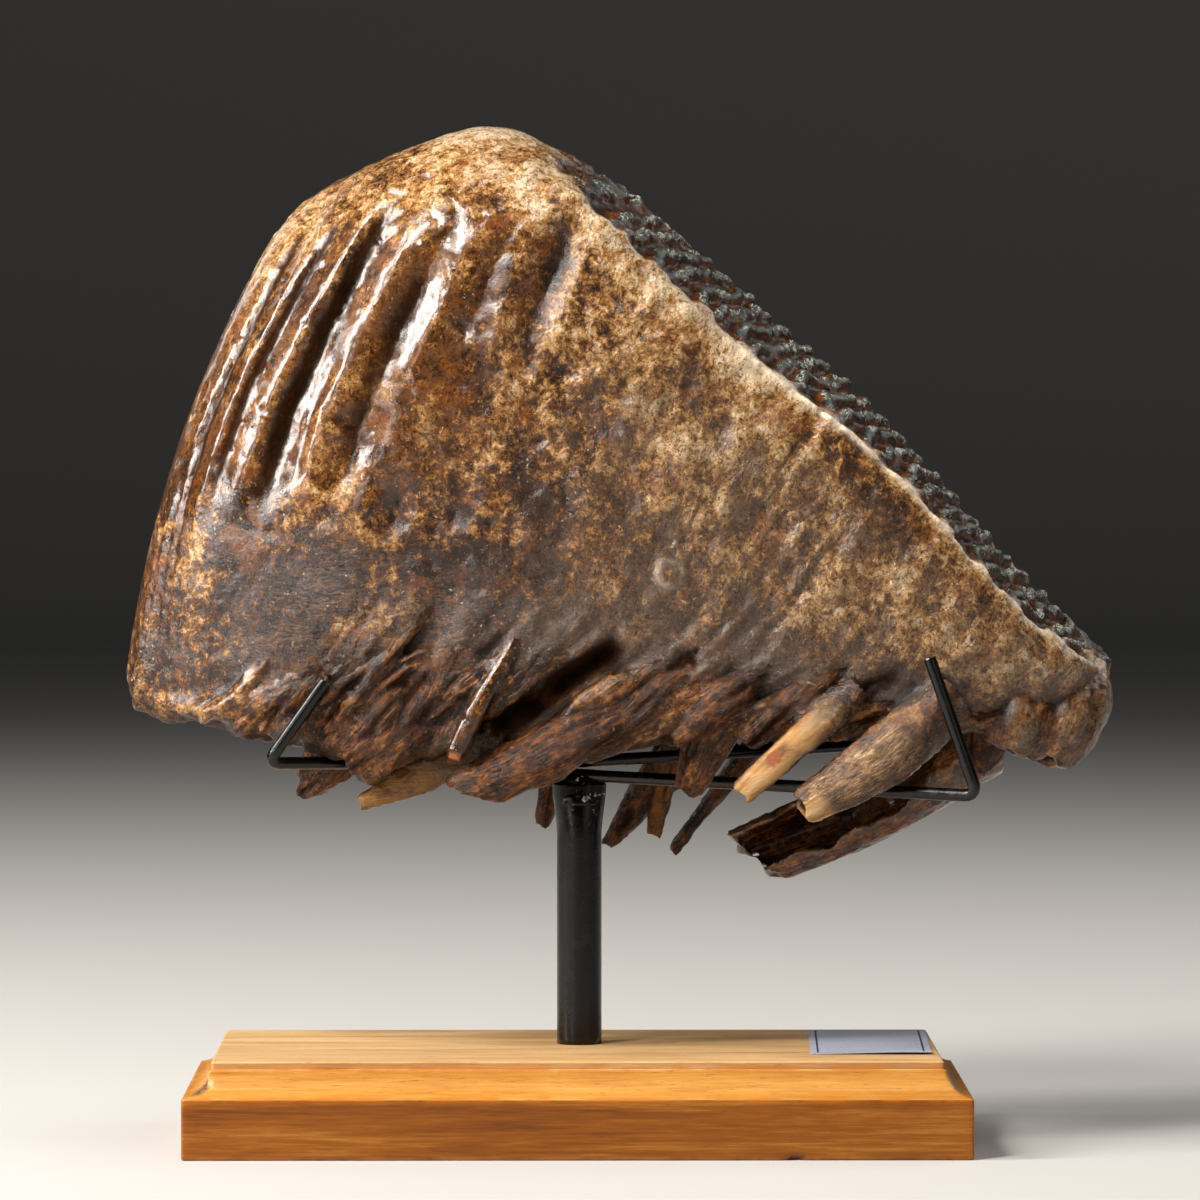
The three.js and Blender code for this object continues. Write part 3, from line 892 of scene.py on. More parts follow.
@dataclass
class Crown:
    """The molar's crown: a row of plates, ribbed at the sides and worn flat on top."""

    plate_count: float = 19.7
    plate_pitch: float = 14.0
    guides: tuple[GuidePlate, ...] = (
        GuidePlate(0, (-116.5, 119), (-103.5, 178), (-78.5, 234), 16),
        GuidePlate(1, (-111.5, 112.5), (-99.5, 179), (-69, 243.5), 20),
        GuidePlate(3, (-96, 108.5), (-83.5, 184), (-43, 256.5), 33),
        GuidePlate(5, (-75.5, 104.5), (-50.5, 184), (-17.5, 262.3), 42.5),
        GuidePlate(7, (-52, 101.5), (-22, 178), (9.5, 250.5), 44),
        GuidePlate(10, (-22, 102), (15.5, 165), (42.5, 222.5), 44),
        GuidePlate(13.8, (22, 104), (57.5, 147), (82.5, 186), 42.5),
        GuidePlate(17.7, (87, 106.5), (104.5, 126), (118.5, 145), 38),
        GuidePlate(19.7, (130, 109), (136, 117), (138.5, 125), 27),
    )
    side_heights: tuple[float, ...] = (0, 0.3, 0.65, 1)
    side_shares: tuple[float, ...] = (0.9, 0.98, 1, 0.86)
    end_rounding_plates: float = 0.9
    end_least_share: float = 0.012
    wear_start: float = 5
    wear_full: float = 7.2
    worn_edge_radius: float = 2.5
    unworn_rounding: float = 40
    unworn_rounding_share: float = 0.85
    tilt_plates: tuple[float, ...] = (0, 5, 7, 10, 14, 18, 19.7)
    tilt_drops: tuple[float, ...] = (0, 2, 13, 17, 13, 10, 5)
    face_crowning: float = 1.5
    groove_plates: tuple[float, ...] = (0, 0.5, 1.5, 2.5, 3.5, 4.5, 5.5, 6.5, 7.5, 9.5, 13, 19.7)
    groove_depths: tuple[float, ...] = (
        0.6, 1.1, 1.8, 2.6, 4.2, 3.7, 1.4, 3.2, 0.6, 0.3, 0.25, 0.2)
    groove_shades: tuple[float, ...] = (
        0.3, 0.45, 0.70, 0.80, 1.0, 0.65, 0.40, 0.50, 0.3, 0.1, 0.1, 0.1)
    valley_places: tuple[float, ...] = (
        0.60, 0.60, 0.60, 0.55, 0.54, 0.62, 0.60, 0.60, 0.60, 0.60, 0.60, 0.60)
    rib_runs: tuple[tuple[float, float, float, float], ...] = (
        (4, 0.57, 0.075, -2.4), (5, 0.38, 0.045, 2.2), (6, 0.40, 0.04, 1.8))
    flank_flatness: float = 0.7
    crest_shift: float = 0.2
    groove_bottoms: tuple[float, ...] = (
        0.10, 0.30, 0.34, 0.36, 0.36, 0.40, 0.62, 0.72, 0.5, 0.3, 0.2, 0.1)
    groove_tops: tuple[float, ...] = (
        0.90, 0.92, 0.94, 0.92, 0.90, 0.81, 0.86, 0.96, 0.8, 0.9, 0.9, 0.9)
    arch_plates: tuple[float, ...] = (0, 5, 9, 15, 19.7)
    arch_heights: tuple[float, ...] = (2, 5, 9, 7, 2)
    row_slant: float = 0.65
    near_carvings: tuple[tuple[tuple[float, float], tuple[float, float], float, float], ...] = (
        ((14, 132), (-20, 108.5), 2.8, 5.0), ((-18, 127), (-33, 101), 1.8, 2.5),
        ((50, 124.5), (24, 107.5), 2.2, 2.8), ((70, 122), (44, 105), 2.2, 3.0),
        ((34, 130), (6, 111), 1.8, 2.0), ((96, 119), (78, 104), 2.6, 3.0),
        ((-33, 128), (-55, 103), 1.7, 1.8), ((86, 126), (60, 108), 1.8, 1.6),
    )
    furrow_margin: float = 1.4
    scar_place: tuple[float, float, float] = (23.4, -40.0, 147.9)
    scar_radius: float = 3.7
    worn_loop_pitch: float = 11.0
    worn_loop_radius: float = 3.1
    enamel_height: float = 3.1
    foot_rounding: float = 6
    stations_per_plate: int = 17
    first_stations: tuple[float, ...] = (0, 0.012, 0.03)
    last_stations: tuple[float, ...] = (0.6, 0.45, 0.3, 0.2, 0.12, 0.06, 0.03, 0.012, 0)
    foot_steps: int = 16
    foot_corner_steps: int = 8
    side_steps: int = 92
    top_corner_steps: int = 10
    top_steps: int = 48

    def _guide(self, name: str, axis: int, plate: np.ndarray) -> np.ndarray:
        """Return one coordinate of the guide plates' named point, at other plates."""
        return through([g.plate for g in self.guides],
                       [getattr(g, name)[axis] for g in self.guides], plate)

    def plate_point(self, plate: np.ndarray, share: np.ndarray) -> tuple[np.ndarray, np.ndarray]:
        """Find a place on a plate's centre line.

        Args:
            plate: Plate numbers.
            share: 0 at the foot and 1 at the crest.

        Returns:
            The place's x and z.
        """
        place = []
        for axis in (0, 1):
            foot, middle, crest = (self._guide(n, axis, plate) for n in ("foot", "middle", "crest"))
            place.append(foot * (1 - share) * (1 - 2 * share) + middle * 4 * share * (1 - share)
                         + crest * share * (2 * share - 1))
        return place[0], place[1]

    def plate_height(self, plate: np.ndarray) -> np.ndarray:
        """Return the length of a plate's centre line."""
        x, z = zip(*(self.plate_point(plate, np.asarray(s)) for s in (0.0, 0.5, 1.0)))
        return np.hypot(x[1] - x[0], z[1] - z[0]) + np.hypot(x[2] - x[1], z[2] - z[1])

    def half_width(self, plate: np.ndarray) -> np.ndarray:
        """Find half of the crown's width at a plate.

        Args:
            plate: Plate numbers.

        Returns:
            Half widths in millimetres, rounded off towards both ends.
        """
        to_end = np.minimum(plate, self.plate_count - plate) / self.end_rounding_plates
        rounding = np.sqrt(1 - (1 - clamp01(to_end)) ** 2)
        widths = through([g.plate for g in self.guides], [g.half_width for g in self.guides], plate)
        return widths * np.maximum(self.end_least_share, rounding)

    def in_carving(self, x: float, z: float) -> bool:
        """Tell whether a place lies in one of the near side's deep furrows.

        Args:
            x: The place's x in the picture's plane.
            z: Its z.

        Returns:
            True in a furrow or close to it.
        """
        for start, end, radius, _ in self.near_carvings:
            run = np.subtract(end, start)
            arm = np.subtract((x, z), start)
            share = clamp01(arm @ run / (run @ run))
            if np.linalg.norm(arm - share * run) < radius + self.furrow_margin:
                return True
        return False

    def _groove_window(self, plate: np.ndarray, share: np.ndarray) -> np.ndarray:
        """Find how fully a groove is cut at a height.

        Args:
            plate: Plate numbers.
            share: Height shares.

        Returns:
            1 in its middle, running out to 0 at foot and crest.
        """
        bottom = through(self.groove_plates, self.groove_bottoms, plate)
        top = through(self.groove_plates, self.groove_tops, plate)
        rise = smoothstep(0, 1, (share - bottom + 0.07) / 0.20)
        fall = smoothstep(0, 1, (top + 0.05 - share) / 0.16)
        return rise * fall

    def _setback(
        self, plate: np.ndarray, share: np.ndarray, points: np.ndarray, noise: Noise
    ) -> tuple[np.ndarray, np.ndarray]:
        """Find how far the side is set back between the ribs.

        Args:
            plate: Plate numbers, one for each point.
            share: Height shares, one for each point.
            points: Rough places, for the noise that bends the ribs.
            noise: That noise.

        Returns:
            The setback in millimetres, and the groove's painted shade from 0 to 1.
        """
        bent = plate + 0.09 * noise.at(points, 34) + 0.03 * noise.at(points, 11)
        gap = np.floor(bent - self.crest_shift)
        past = bent - self.crest_shift - gap
        valley = through(self.groove_plates, self.valley_places, gap + 0.5)
        falling = 0.5 - 0.5 * np.cos(np.pi * clamp01(past / valley))
        back = clamp01((1 - past) / (1 - valley))
        rising = mix(0.5 - 0.5 * np.cos(np.pi * back), back, self.flank_flatness)
        groove = np.where(past < valley, falling, rising)
        # Painted shade: each rib's right flank and valley, which face away from the light, are marked
        # for darkening.
        shade = np.where(past < valley, smoothstep(0.05, 0.80, past / valley),
                         1 - clamp01((past - valley) / 0.08))
        window = self._groove_window(gap + 0.5, share)
        runs = sum(deep * np.exp(-((share - at) / spread) ** 2) * (gap == place)
                   for place, at, spread, deep in self.rib_runs)
        depth = through(self.groove_plates, self.groove_depths, gap + 0.5)
        uneven = 1 + 0.22 * noise.at(points + 40, 22)
        split = np.exp(-((bent - 4.03) / 0.085) ** 2) * smoothstep(0.66, 0.56, share)
        split = split * smoothstep(0.36, 0.46, share) * 1.3
        narrow = np.cos(2 * np.pi * bent / 0.42) * 0.5 + 0.5
        low_ribs = narrow * 1.1 * smoothstep(2.6, 1.4, plate) * smoothstep(0.1, 0.2, share)
        low_ribs = low_ribs * smoothstep(0.52, 0.40, share)
        dark = through(self.groove_plates, self.groove_shades, gap + 0.5)
        setback = groove * (depth * window * uneven + runs) + split + low_ribs
        return setback, shade * window * dark

    def build(self, noise: Noise) -> Shell:
        """Make the crown with its ribs, enamel, folds and lumps.

        Args:
            noise: The noise that makes it irregular.

        Returns:
            The closed crown.
        """
        last = int(self.plate_count)
        inner = np.arange(1, last * self.stations_per_plate + 1) / self.stations_per_plate
        late = self.plate_count - np.array(self.last_stations)
        stations = np.concatenate([self.first_stations, inner, late])
        plate = np.unique(stations)[:, None]
        height = self.plate_height(plate)
        full = self.half_width(plate)
        worn = smoothstep(self.wear_start, self.wear_full, plate)

        def width_at(up: np.ndarray) -> np.ndarray:
            """Return half of the width at a height above the foot."""
            return full * through(self.side_heights, self.side_shares, clamp01(up / height))

        worn_edge = np.minimum(self.worn_edge_radius, full / 2)
        edge_out = mix(self.unworn_rounding_share * width_at(height), worn_edge, worn)
        edge_up = mix(self.unworn_rounding, self.worn_edge_radius, worn)
        foot = np.minimum(np.minimum(self.foot_rounding, full / 2), height / 3)
        arch = through(self.arch_plates, self.arch_heights, plate)
        flat_foot = width_at(0 * height) - foot
        flat_top = width_at(height) - edge_out
        one = np.ones_like(height)
        i = np.arange(self.foot_steps) / self.foot_steps
        parts = [(flat_foot * i, arch * (1 - i ** 2), 0 * i, 1 + 0 * i)]
        turn = np.pi / 2 * np.arange(self.foot_corner_steps) / self.foot_corner_steps
        up = foot * (1 - np.cos(turn))
        parts.append((width_at(up) - foot * (1 - np.sin(turn)), up, 0 * turn, np.cos(turn)))
        up = mix(foot, height - edge_up, np.arange(self.side_steps) / self.side_steps)
        parts.append((width_at(up), up, np.zeros(self.side_steps), np.zeros(self.side_steps)))
        turn = np.pi / 2 * np.arange(self.top_corner_steps) / self.top_corner_steps
        up = height - edge_up * (1 - np.sin(turn))
        parts.append((width_at(up) - edge_out * (1 - np.cos(turn)), up,
                      turn / turn[-1] * 0.6, 0 * turn))
        i = np.arange(self.top_steps + 1) / self.top_steps
        out = flat_top * (1 - i)
        parts.append((out, height + self.face_crowning * worn * (1 - (1 - i) ** 2),
                      np.minimum(1, 0.75 + i * 6), 0 * i))
        out, up, top, below = (np.concatenate([one * part[k] for part in parts], axis=1)
                               for k in range(4))
        sides = np.concatenate([-one * np.ones(out.shape[1]), one * np.ones(out.shape[1] - 2)], 1)
        out, up, top, below = (np.concatenate([a, a[:, -2:0:-1]], 1) for a in (out, up, top, below))
        shape = out.shape
        plate = plate * np.ones(shape)
        share = up / height
        tilt = through(self.tilt_plates, self.tilt_drops, plate)

        def place(y: np.ndarray) -> np.ndarray:
            """Return the grid's places, with the plates tilted towards the viewer."""
            drop = tilt / 2 * (1 - y / full) * clamp01(share) ** 3
            x, z = self.plate_point(plate, (up - drop) / height)
            return np.stack([x, y, z], axis=-1)

        rough = place(sides * out).reshape(-1, 3)
        setback, groove = (a.reshape(shape) for a in self._setback(
            plate.ravel(), clamp01(share).ravel(), rough, noise))
        on_side = smoothstep(0, 1, out / (full / 3))
        to_end = np.minimum(plate, self.plate_count - plate)
        whole = smoothstep(0.05, self.end_rounding_plates, to_end)
        grid = place(sides * (out - on_side * setback * whole))
        normals = np.cross(np.roll(grid, -1, 1) - np.roll(grid, 1, 1), np.gradient(grid, axis=0))
        normals /= np.maximum(1e-9, np.linalg.norm(normals, axis=2, keepdims=True))
        centre = grid.mean(axis=1, keepdims=True)
        if np.sum(normals * (grid - centre)) < 0:
            normals = -normals
        lift, values = self._relief(
            grid, plate, share, sides, full, worn * top, below, groove, noise)
        lift = lift * mix(0.25, 1.0, whole)
        grid = grid + normals * lift[..., None]
        values["grain"] = np.stack([plate * self.plate_pitch, up, grid[..., 1]], -1) * MM
        flat = {}
        for name, field in values.items():
            rows = field.reshape(-1, 3) if field.ndim == 3 else field.reshape(-1)
            ends = [field[0].mean(axis=0), field[-1].mean(axis=0)]
            flat[name] = np.concatenate([rows, np.stack(ends)])
        faces = ring_faces(shape[0], shape[1])
        return Shell(capped_points(grid), faces, flat)

    def _relief(
        self,
        grid: np.ndarray,
        plate: np.ndarray,
        share: np.ndarray,
        sides: np.ndarray,
        full: np.ndarray,
        face: np.ndarray,
        below: np.ndarray,
        groove: np.ndarray,
        noise: Noise,
    ) -> tuple[np.ndarray, dict[str, np.ndarray]]:
        """Work out the crown's finer relief and the values that its finish reads.

        Args:
            grid: Places of shape (plates, corners, 3).
            plate: Plate numbers of the same shape.
            share: Height shares.
            sides: -1 on the side towards the viewer and 1 on the other.
            full: Half widths at each plate.
            face: 1 on the chewing face.
            below: 1 on the underside.
            groove: The grooves' painted shade, 1 deep between two ribs.
            noise: The noise that makes it irregular.

        Returns:
            How far each corner is lifted, and the finish's values.
        """
        shape = plate.shape
        points = grid.reshape(-1, 3)

        def field(values: np.ndarray) -> np.ndarray:
            """Return values per point in the grid's shape."""
            return values.reshape(shape)

        y = grid[..., 1]
        on_side = clamp01(1 - face - below)
        low = smoothstep(0.34, 0.10, share)
        relief, enamel = self._enamel(grid, plate, full, noise)
        lumps = field(noise.layered(points, 17, 3))
        pebbles = field(noise.layered(points + 90, 5, 3))
        shear = plate + 1.5 * clamp01((0.32 - share) / 0.32) ** 1.5
        folds_at = np.stack([shear * self.plate_pitch, share * 40, y * 0.5], -1).reshape(-1, 3)
        folds = field(noise.ridged(folds_at, (4.6, 26, 60)))
        coarse_folds = field(noise.ridged(folds_at + 55, (11, 60, 90)))
        folded = low * smoothstep(3.8, 6.5, plate) * smoothstep(19.3, 17.0, plate) * on_side
        streaks = field(noise.ridged(folds_at + 20, (7, 70, 60)))
        rim = np.exp(-((share - 0.980) / 0.008) ** 2) * smoothstep(9.0, 11.5, plate) * on_side
        radius = np.linalg.norm((points - self.scar_place) * (1, 0.5, 1), axis=1)
        edge = np.exp(-((radius - self.scar_radius) / 0.7) ** 2)
        ring = field(edge + 0.8 * np.exp(-(radius / 1.3) ** 2))
        ring = ring * clamp01(0.55 + 0.9 * pebbles)
        carved = np.zeros(shape)
        bend = 1.6 * field(noise.layered(points + 31, 12, 2))
        for start, end, radius_there, deep in self.near_carvings:
            run = np.subtract(end, start)
            arm = grid[..., ::2] - np.asarray(start, float)
            part = clamp01(arm @ run / (run @ run))
            away = np.linalg.norm(arm - part[..., None] * run, axis=-1)
            ends = smoothstep(0, 0.3, part) * smoothstep(1.2, 0.9, part)
            cut = np.exp(-((away + bend) / radius_there) ** 2) * deep * ends
            carved = np.maximum(carved, cut * (sides < 0) * on_side)
        hem = smoothstep(0.13, 0.0, share) * on_side
        ragged = field(noise.layered(points + 13, 8, 3))
        uneven = smoothstep(4.5, 7, plate) * 0.6 + 0.4
        lift = face * relief
        lift = lift + on_side * (1 - low) * uneven * (0.8 * lumps + 0.6 * pebbles)
        lift = lift + folded * ((folds - 0.55) * 2.2 + (coarse_folds - 0.5) * 3.0) - carved
        lift = lift + on_side * smoothstep(8, 11, plate) * (1 - folded) * (streaks - 0.6) * 0.7
        lift = lift + on_side * low * 0.5 * lumps
        lift = lift + rim * 1.1 + ring * 1.1 * (sides < 0) * on_side
        lift = lift + hem * ragged * 2.2 + below * (ragged * 2.6 + 1.2 * lumps)
        values = {name: np.zeros(shape) for name in VALUE_NAMES}
        values["face"] = face
        values["enamel"] = enamel * face
        # The rim's pale tint is partly a painted highlight; the scar ring adds a faint pale tint.
        values["rim"] = np.maximum(rim, 0.22 * ring * on_side) * (sides < 0)
        # Painted shade with dirt: the cavity value darkens the rib valleys, the gaps between folds, the
        # underside, the furrows and the chewing face's low spots.
        between_folds = folded * smoothstep(0.45, 0.05, folds)
        values["cavity"] = np.maximum.reduce([
            smoothstep(0.12, 0.85, groove) * 0.9 * on_side, between_folds * 0.9, below * 0.75,
            clamp01(carved / 2.0), face * smoothstep(-0.3, -1.2, relief) * 0.4])
        bright = smoothstep(0.86, 1.0, share) * smoothstep(2, 5, plate) * 0.7
        bright = bright + (smoothstep(0.60, 0.82, share) * smoothstep(6.5, 8.5, plate)
                           * smoothstep(14.5, 11.5, plate) * 0.45)
        bright = bright - 0.8 * np.exp(-((plate - 9.3) / 1.5) ** 2 - ((share - 0.45) / 0.13) ** 2)
        values["light"] = bright - smoothstep(5.0, 3.0, plate) * smoothstep(0.9, 0.7, share) * 0.4
        values["low"] = smoothstep(0.42, 0.16, share) * smoothstep(2.8, 4.5, plate)
        values["streaky"] = smoothstep(7, 11, plate) * smoothstep(0.95, 0.7, share)
        grit = np.maximum(smoothstep(5.0, 7.0, plate), smoothstep(0.45, 0.3, share))
        values["gritty"] = 0.22 + 0.78 * np.maximum(grit, smoothstep(0.86, 0.96, share))
        values["creased"] = smoothstep(0.24, 0.10, share) * smoothstep(3.5, 6.0, plate) * on_side
        values["ribbed"] = (smoothstep(7.5, 5.5, plate) * smoothstep(0.36, 0.48, share)
                            * smoothstep(0.92, 0.78, share) * on_side)
        return lift, values

    def _enamel(
        self, grid: np.ndarray, plate: np.ndarray, full: np.ndarray, noise: Noise
    ) -> tuple[np.ndarray, np.ndarray]:
        """Work out the worn plates' crinkled enamel loops on the chewing face.

        Args:
            grid: Places of shape (plates, corners, 3).
            plate: Plate numbers of the same shape.
            full: Half widths at each plate.
            noise: The noise that makes them irregular.

        Returns:
            The face's relief in millimetres, and a value of 1 on enamel.
        """
        y = grid[..., 1]
        shape = plate.shape
        wobble = noise.at(np.stack([plate.ravel() * 5, y.ravel(), 0 * y.ravel()], -1), 13)
        slanted = plate - self.row_slant * y / full + 0.15 * wobble.reshape(shape)
        nearest = np.round(slanted)
        offset = slanted - nearest
        reach = (y - 0.1 * full) / (full * 0.95)
        loop = 0.25 * np.sqrt(np.maximum(0, 1 - np.abs(reach) ** 5))
        wall_at = np.stack([nearest * 37 + np.sign(offset) * 13, y, 0 * y], -1).reshape(-1, 3)
        crinkle = 0.11 * noise.at(wall_at, 13) + 0.06 * noise.at(wall_at + 50, 5.5)
        away = np.abs(np.abs(offset) - loop - crinkle.reshape(shape)) * self.plate_pitch
        loops = np.sqrt(clamp01(1 - (away / 2.3) ** 2)) * (np.abs(reach) < 1.0)
        across = y + 3.0 * nearest
        across = across - np.round(across / self.worn_loop_pitch) * self.worn_loop_pitch
        circle = np.abs(np.hypot(offset * self.plate_pitch, across * 0.8) - self.worn_loop_radius)
        rings = np.sqrt(clamp01(1 - (circle / 2.0) ** 2)) * (np.abs(reach) < 1.05)
        enamel = mix(loops, rings, smoothstep(8.2, 7.0, plate))
        knobs = 0.75 + 0.50 * noise.at(wall_at + 9, 8.0).reshape(shape)
        chips = noise.layered(grid.reshape(-1, 3) + 17, 4.0, 2).reshape(shape)
        dentine = (np.abs(offset) < loop) * (1 - enamel)
        relief = enamel * self.enamel_height * knobs + 0.3 * chips - 1.5 - 0.3 * dentine
        return relief, enamel


@dataclass
class Roots:
    """The broken roots and root lobes under the crown."""

    around: int = 40
    along: int = 34
    horns: tuple[Horn, ...] = (
        Horn(((-15, -41.5, 131), (-24.7, -43.6, 114.6), (-31, -42.8, 101)), (1.6, 2.7, 2.7),
             (2.4, 2.9, 2.8), Tint.SPIKE, ridge=0.4, low=0, light=-1.1, gritty=0.1, creased=0.1),
        Horn(((14, -36, 114), (-6.5, -41, 103.2), (-27, -40, 92)), (5, 7.0, 6.0), (5, 5.6, 3.4),
             Tint.DARK, 4.0, 1.7, 1.0, light=-0.5, gritty=0.2),
        Horn(((-38, -33, 122), (-49, -36, 110), (-59, -36, 100)), (10, 12.5, 9), (6, 7, 4.5)),
        Horn(((-26, -30, 104), (-42, -32, 95), (-55, -34, 89.5)), (5, 4.4, 2.2), (4, 3, 1.8),
             Tint.AMBER, ridge=0.5, creased=0.2),
        Horn(((-54, -14, 108), (-64, -14, 97), (-71, -12, 89.5)), (7, 5.5, 1.8), (6, 4.5, 1.6),
             light=-0.6),
        Horn(((16, -34, 109), (9, -37, 104.5), (2, -38, 101)), (3.4, 3.2, 2.2), (4, 4, 3),
             Tint.LOBE, light=0.5),
        Horn(((38, -32, 114), (32, -29, 102), (28.5, -25, 92.5)), (7, 6, 3.8), (8, 6.5, 4.5)),
        Horn(((71, -39, 119), (57, -43, 106.5), (41.5, -44, 92.2)), (3.7, 4.2, 3.3), (4, 3.9, 3),
             Tint.IVORY, ridge=0.3, gritty=0.3, creased=0),
        Horn(((95, -37, 117), (78, -43, 102), (57, -45, 88.5)), (6.5, 7.2, 4.8), (7, 5.4, 3.4),
             Tint.FIBROUS, ridge=0.6, creased=0.3),
        Horn(((115, -20, 119), (113.5, -26, 110), (110, -27, 102.5)), (8, 9, 7), (9, 8.5, 7),
             **FRONT_LOBE),
        Horn(((126, -14, 118), (124, -22, 109), (119, -24, 100.5)), (8, 9, 7), (10, 9, 7),
             **FRONT_LOBE),
        Horn(((131, -10, 120), (130.5, -17, 114), (129, -19, 107)), (6, 6.5, 5), (10, 8, 6),
             light=0.4, **FRONT_LOBE),
        Horn(((107, -4, 112), (106, -5, 103), (103, -6, 96)), (7, 5.5, 3), (8, 6, 3)),
        Horn(((36, 26, 107), (20, 28, 90), (8, 29, 74)), (9, 5.2, 1.8), (6, 4.2, 1.8)),
        Horn(((54, 29, 108), (38, 32, 89), (25, 34, 72)), (5, 2.6, 1.6), (6, 3.0, 1.8)),
        Horn(((28, 24, 106), (23, 24, 90), (20, 23, 77.5)), (4.5, 3, 2), (4.5, 3, 2), Tint.AMBER),
        Horn(((-2, 24, 108), (-6, 26, 94), (-9, 27, 80.5)), (5, 3.6, 2.6), (5.5, 4, 2.6)),
        Horn(((-50, 24, 116), (-62, 28, 103), (-70, 29, 91)), (8, 7.5, 4), (9, 7, 4)),
        Horn(((-18, 36, 122), (-31, 40, 104), (-42, 41, 89)), (4, 6.5, 3.5), (5, 5, 3.2)),
        Horn(((6, 36, 124), (-9, 40, 105), (-23, 40, 88)), (4, 7.5, 4), (5, 6, 3.6)),
        Horn(((66, 34, 118), (56, 38, 107), (48, 39, 98)), (6, 8.5, 5.5), (8, 6, 4)),
        Horn(((99, 26, 114), (94, 28, 106), (89, 28, 99)), (9, 10, 6.5), (10, 8, 6)),
        Horn(((121, 14, 116), (119, 17, 107), (116, 17, 100.5)), (9, 8.5, 6), (11, 9, 6.5)),
    )
    folds: tuple[Horn, ...] = (
        Horn(((33, -37, 130), (17, -39.6, 116), (3, -38, 104)), (2, 4.6, 3.0), (3, 3.4, 2.6)),
        Horn(((53, -37, 128), (36, -39.6, 116), (24, -38, 106)), (2, 4.8, 3.4), (3, 3.4, 2.6)),
        Horn(((70, -36, 127), (55, -38.6, 115.5), (42, -38, 105)), (2, 4.4, 3.2), (3, 3.2, 2.4)),
        Horn(((-36, -33, 126), (-45, -36.6, 114), (-55, -36, 101)), (2, 5, 3.2), (3, 3.2, 2.4)),
        Horn(((-52, -30, 126), (-60, -33.6, 114), (-68, -33, 103)), (2, 5, 3.4), (3, 3.2, 2.6)),
    )
    windows: tuple[tuple[float, float, float], ...] = ((-31.5, 100.9, 1.6), (49.5, 101.5, 2.0))
    fringe_pitch: float = 0.42
    tube_path: tuple[tuple[float, float, float], ...] = ((106, 6, 104), (77, 5, 87), (47, 4, 73.5))
    tube_across: tuple[float, float, float] = (11, 10.5, 9)
    tube_deep: tuple[float, float, float] = (12, 12, 10)
    tube_wall: float = 3.2
    tube_half_mouth_degrees: float = 44
    tube_facing_degrees: float = -68
    tube_along: int = 60
    tube_around: int = 46

    @staticmethod
    def _line(path: tuple[tuple[float, float, float], ...], share: np.ndarray) -> np.ndarray:
        """Return places on the smooth line through three points."""
        return np.stack([through([0, 0.5, 1], [p[axis] for p in path], share)
                         for axis in range(3)], -1)

    def _horn(self, horn: Horn, noise: Noise) -> Shell:
        """Make one root.

        Args:
            horn: Its path, radii and tint.
            noise: The noise that makes it irregular.

        Returns:
            The closed root, with a shallow pit in its broken end.
        """
        share = np.linspace(0, 1, self.along)
        line = self._line(horn.path, share)
        along, sideways, upward = line_frames(line, (0, 1, 0))
        length = float(np.linalg.norm(np.diff(line, axis=0), axis=1).sum())
        closing = [(0.0, 0.9), (0.35, 0.72), (-0.3, 0.55), (-1.2, 0.38), (-2.0, 0.16)]
        scale = np.concatenate([np.ones(self.along - 1), [c[1] for c in closing]])
        rise = np.concatenate([np.zeros(self.along - 1), [c[0] for c in closing]])
        pick = np.minimum(np.arange(len(scale)), self.along - 1)
        turn = 2 * np.pi * np.arange(self.around) / self.around
        a = through([0, 0.5, 1], list(horn.across), share)[pick][:, None]
        d = through([0, 0.5, 1], list(horn.deep), share)[pick][:, None]
        lengthwise = (share * length)[pick][:, None] * np.ones(self.around)
        seat = np.asarray(horn.path[1])
        around = np.stack([a * np.cos(turn), lengthwise * 0.16, d * np.sin(turn)], -1) + seat
        flat = around.reshape(-1, 3)
        fibres = noise.ridged(flat, horn.fibre).reshape(a.shape[0], -1)
        lumps = noise.layered(flat + np.array([0, 9, 0]), 6, 2).reshape(a.shape[0], -1)
        thickness = np.minimum(a, d)
        grow = 1 + (horn.ridge * (fibres - 0.6) + 0.18 * thickness * lumps) / np.maximum(thickness, 1.5)
        grow = grow * scale[:, None]
        arm = (upward[pick][:, None] * (a * np.cos(turn) * grow)[..., None]
               + sideways[pick][:, None] * (d * np.sin(turn) * grow)[..., None])
        chipped = noise.layered(arm.reshape(-1, 3) + seat * 3, 3.5, 2).reshape(a.shape[0], -1)
        ending = smoothstep(0.86, 1.0, share)[pick][:, None]
        lean = smoothstep(0.4, 1.0, share)[pick][:, None] * horn.slant
        slide = rise[:, None] + 1.3 * chipped * ending + lean * a * np.cos(turn) * scale[:, None]
        rings = line[pick][:, None] + arm + along[pick][:, None] * slide[..., None]
        grain = np.stack([a * np.cos(turn), lengthwise, d * np.sin(turn)], -1) * MM
        values = blank_values(rings.shape[0] * self.around + 2)
        values["grain"] = capped_points(grain)
        below = smoothstep(0.15, 0.6, share)[pick][:, None] * np.ones(self.around)

        def flat_value(field: np.ndarray) -> np.ndarray:
            """Return values per corner as one list, with the two end centres last."""
            return np.concatenate([field.ravel(), [field[0].mean(), field[-1].mean()]])

        if horn.tint is not Tint.NONE:
            shown = {Tint.LOBE: 0.8, Tint.SPIKE: 0.35}.get(horn.tint, 1.0)
            values["root"] = flat_value(below) * shown
        values["low"] += horn.low
        values["creased"] += horn.creased
        values["light"] += horn.light
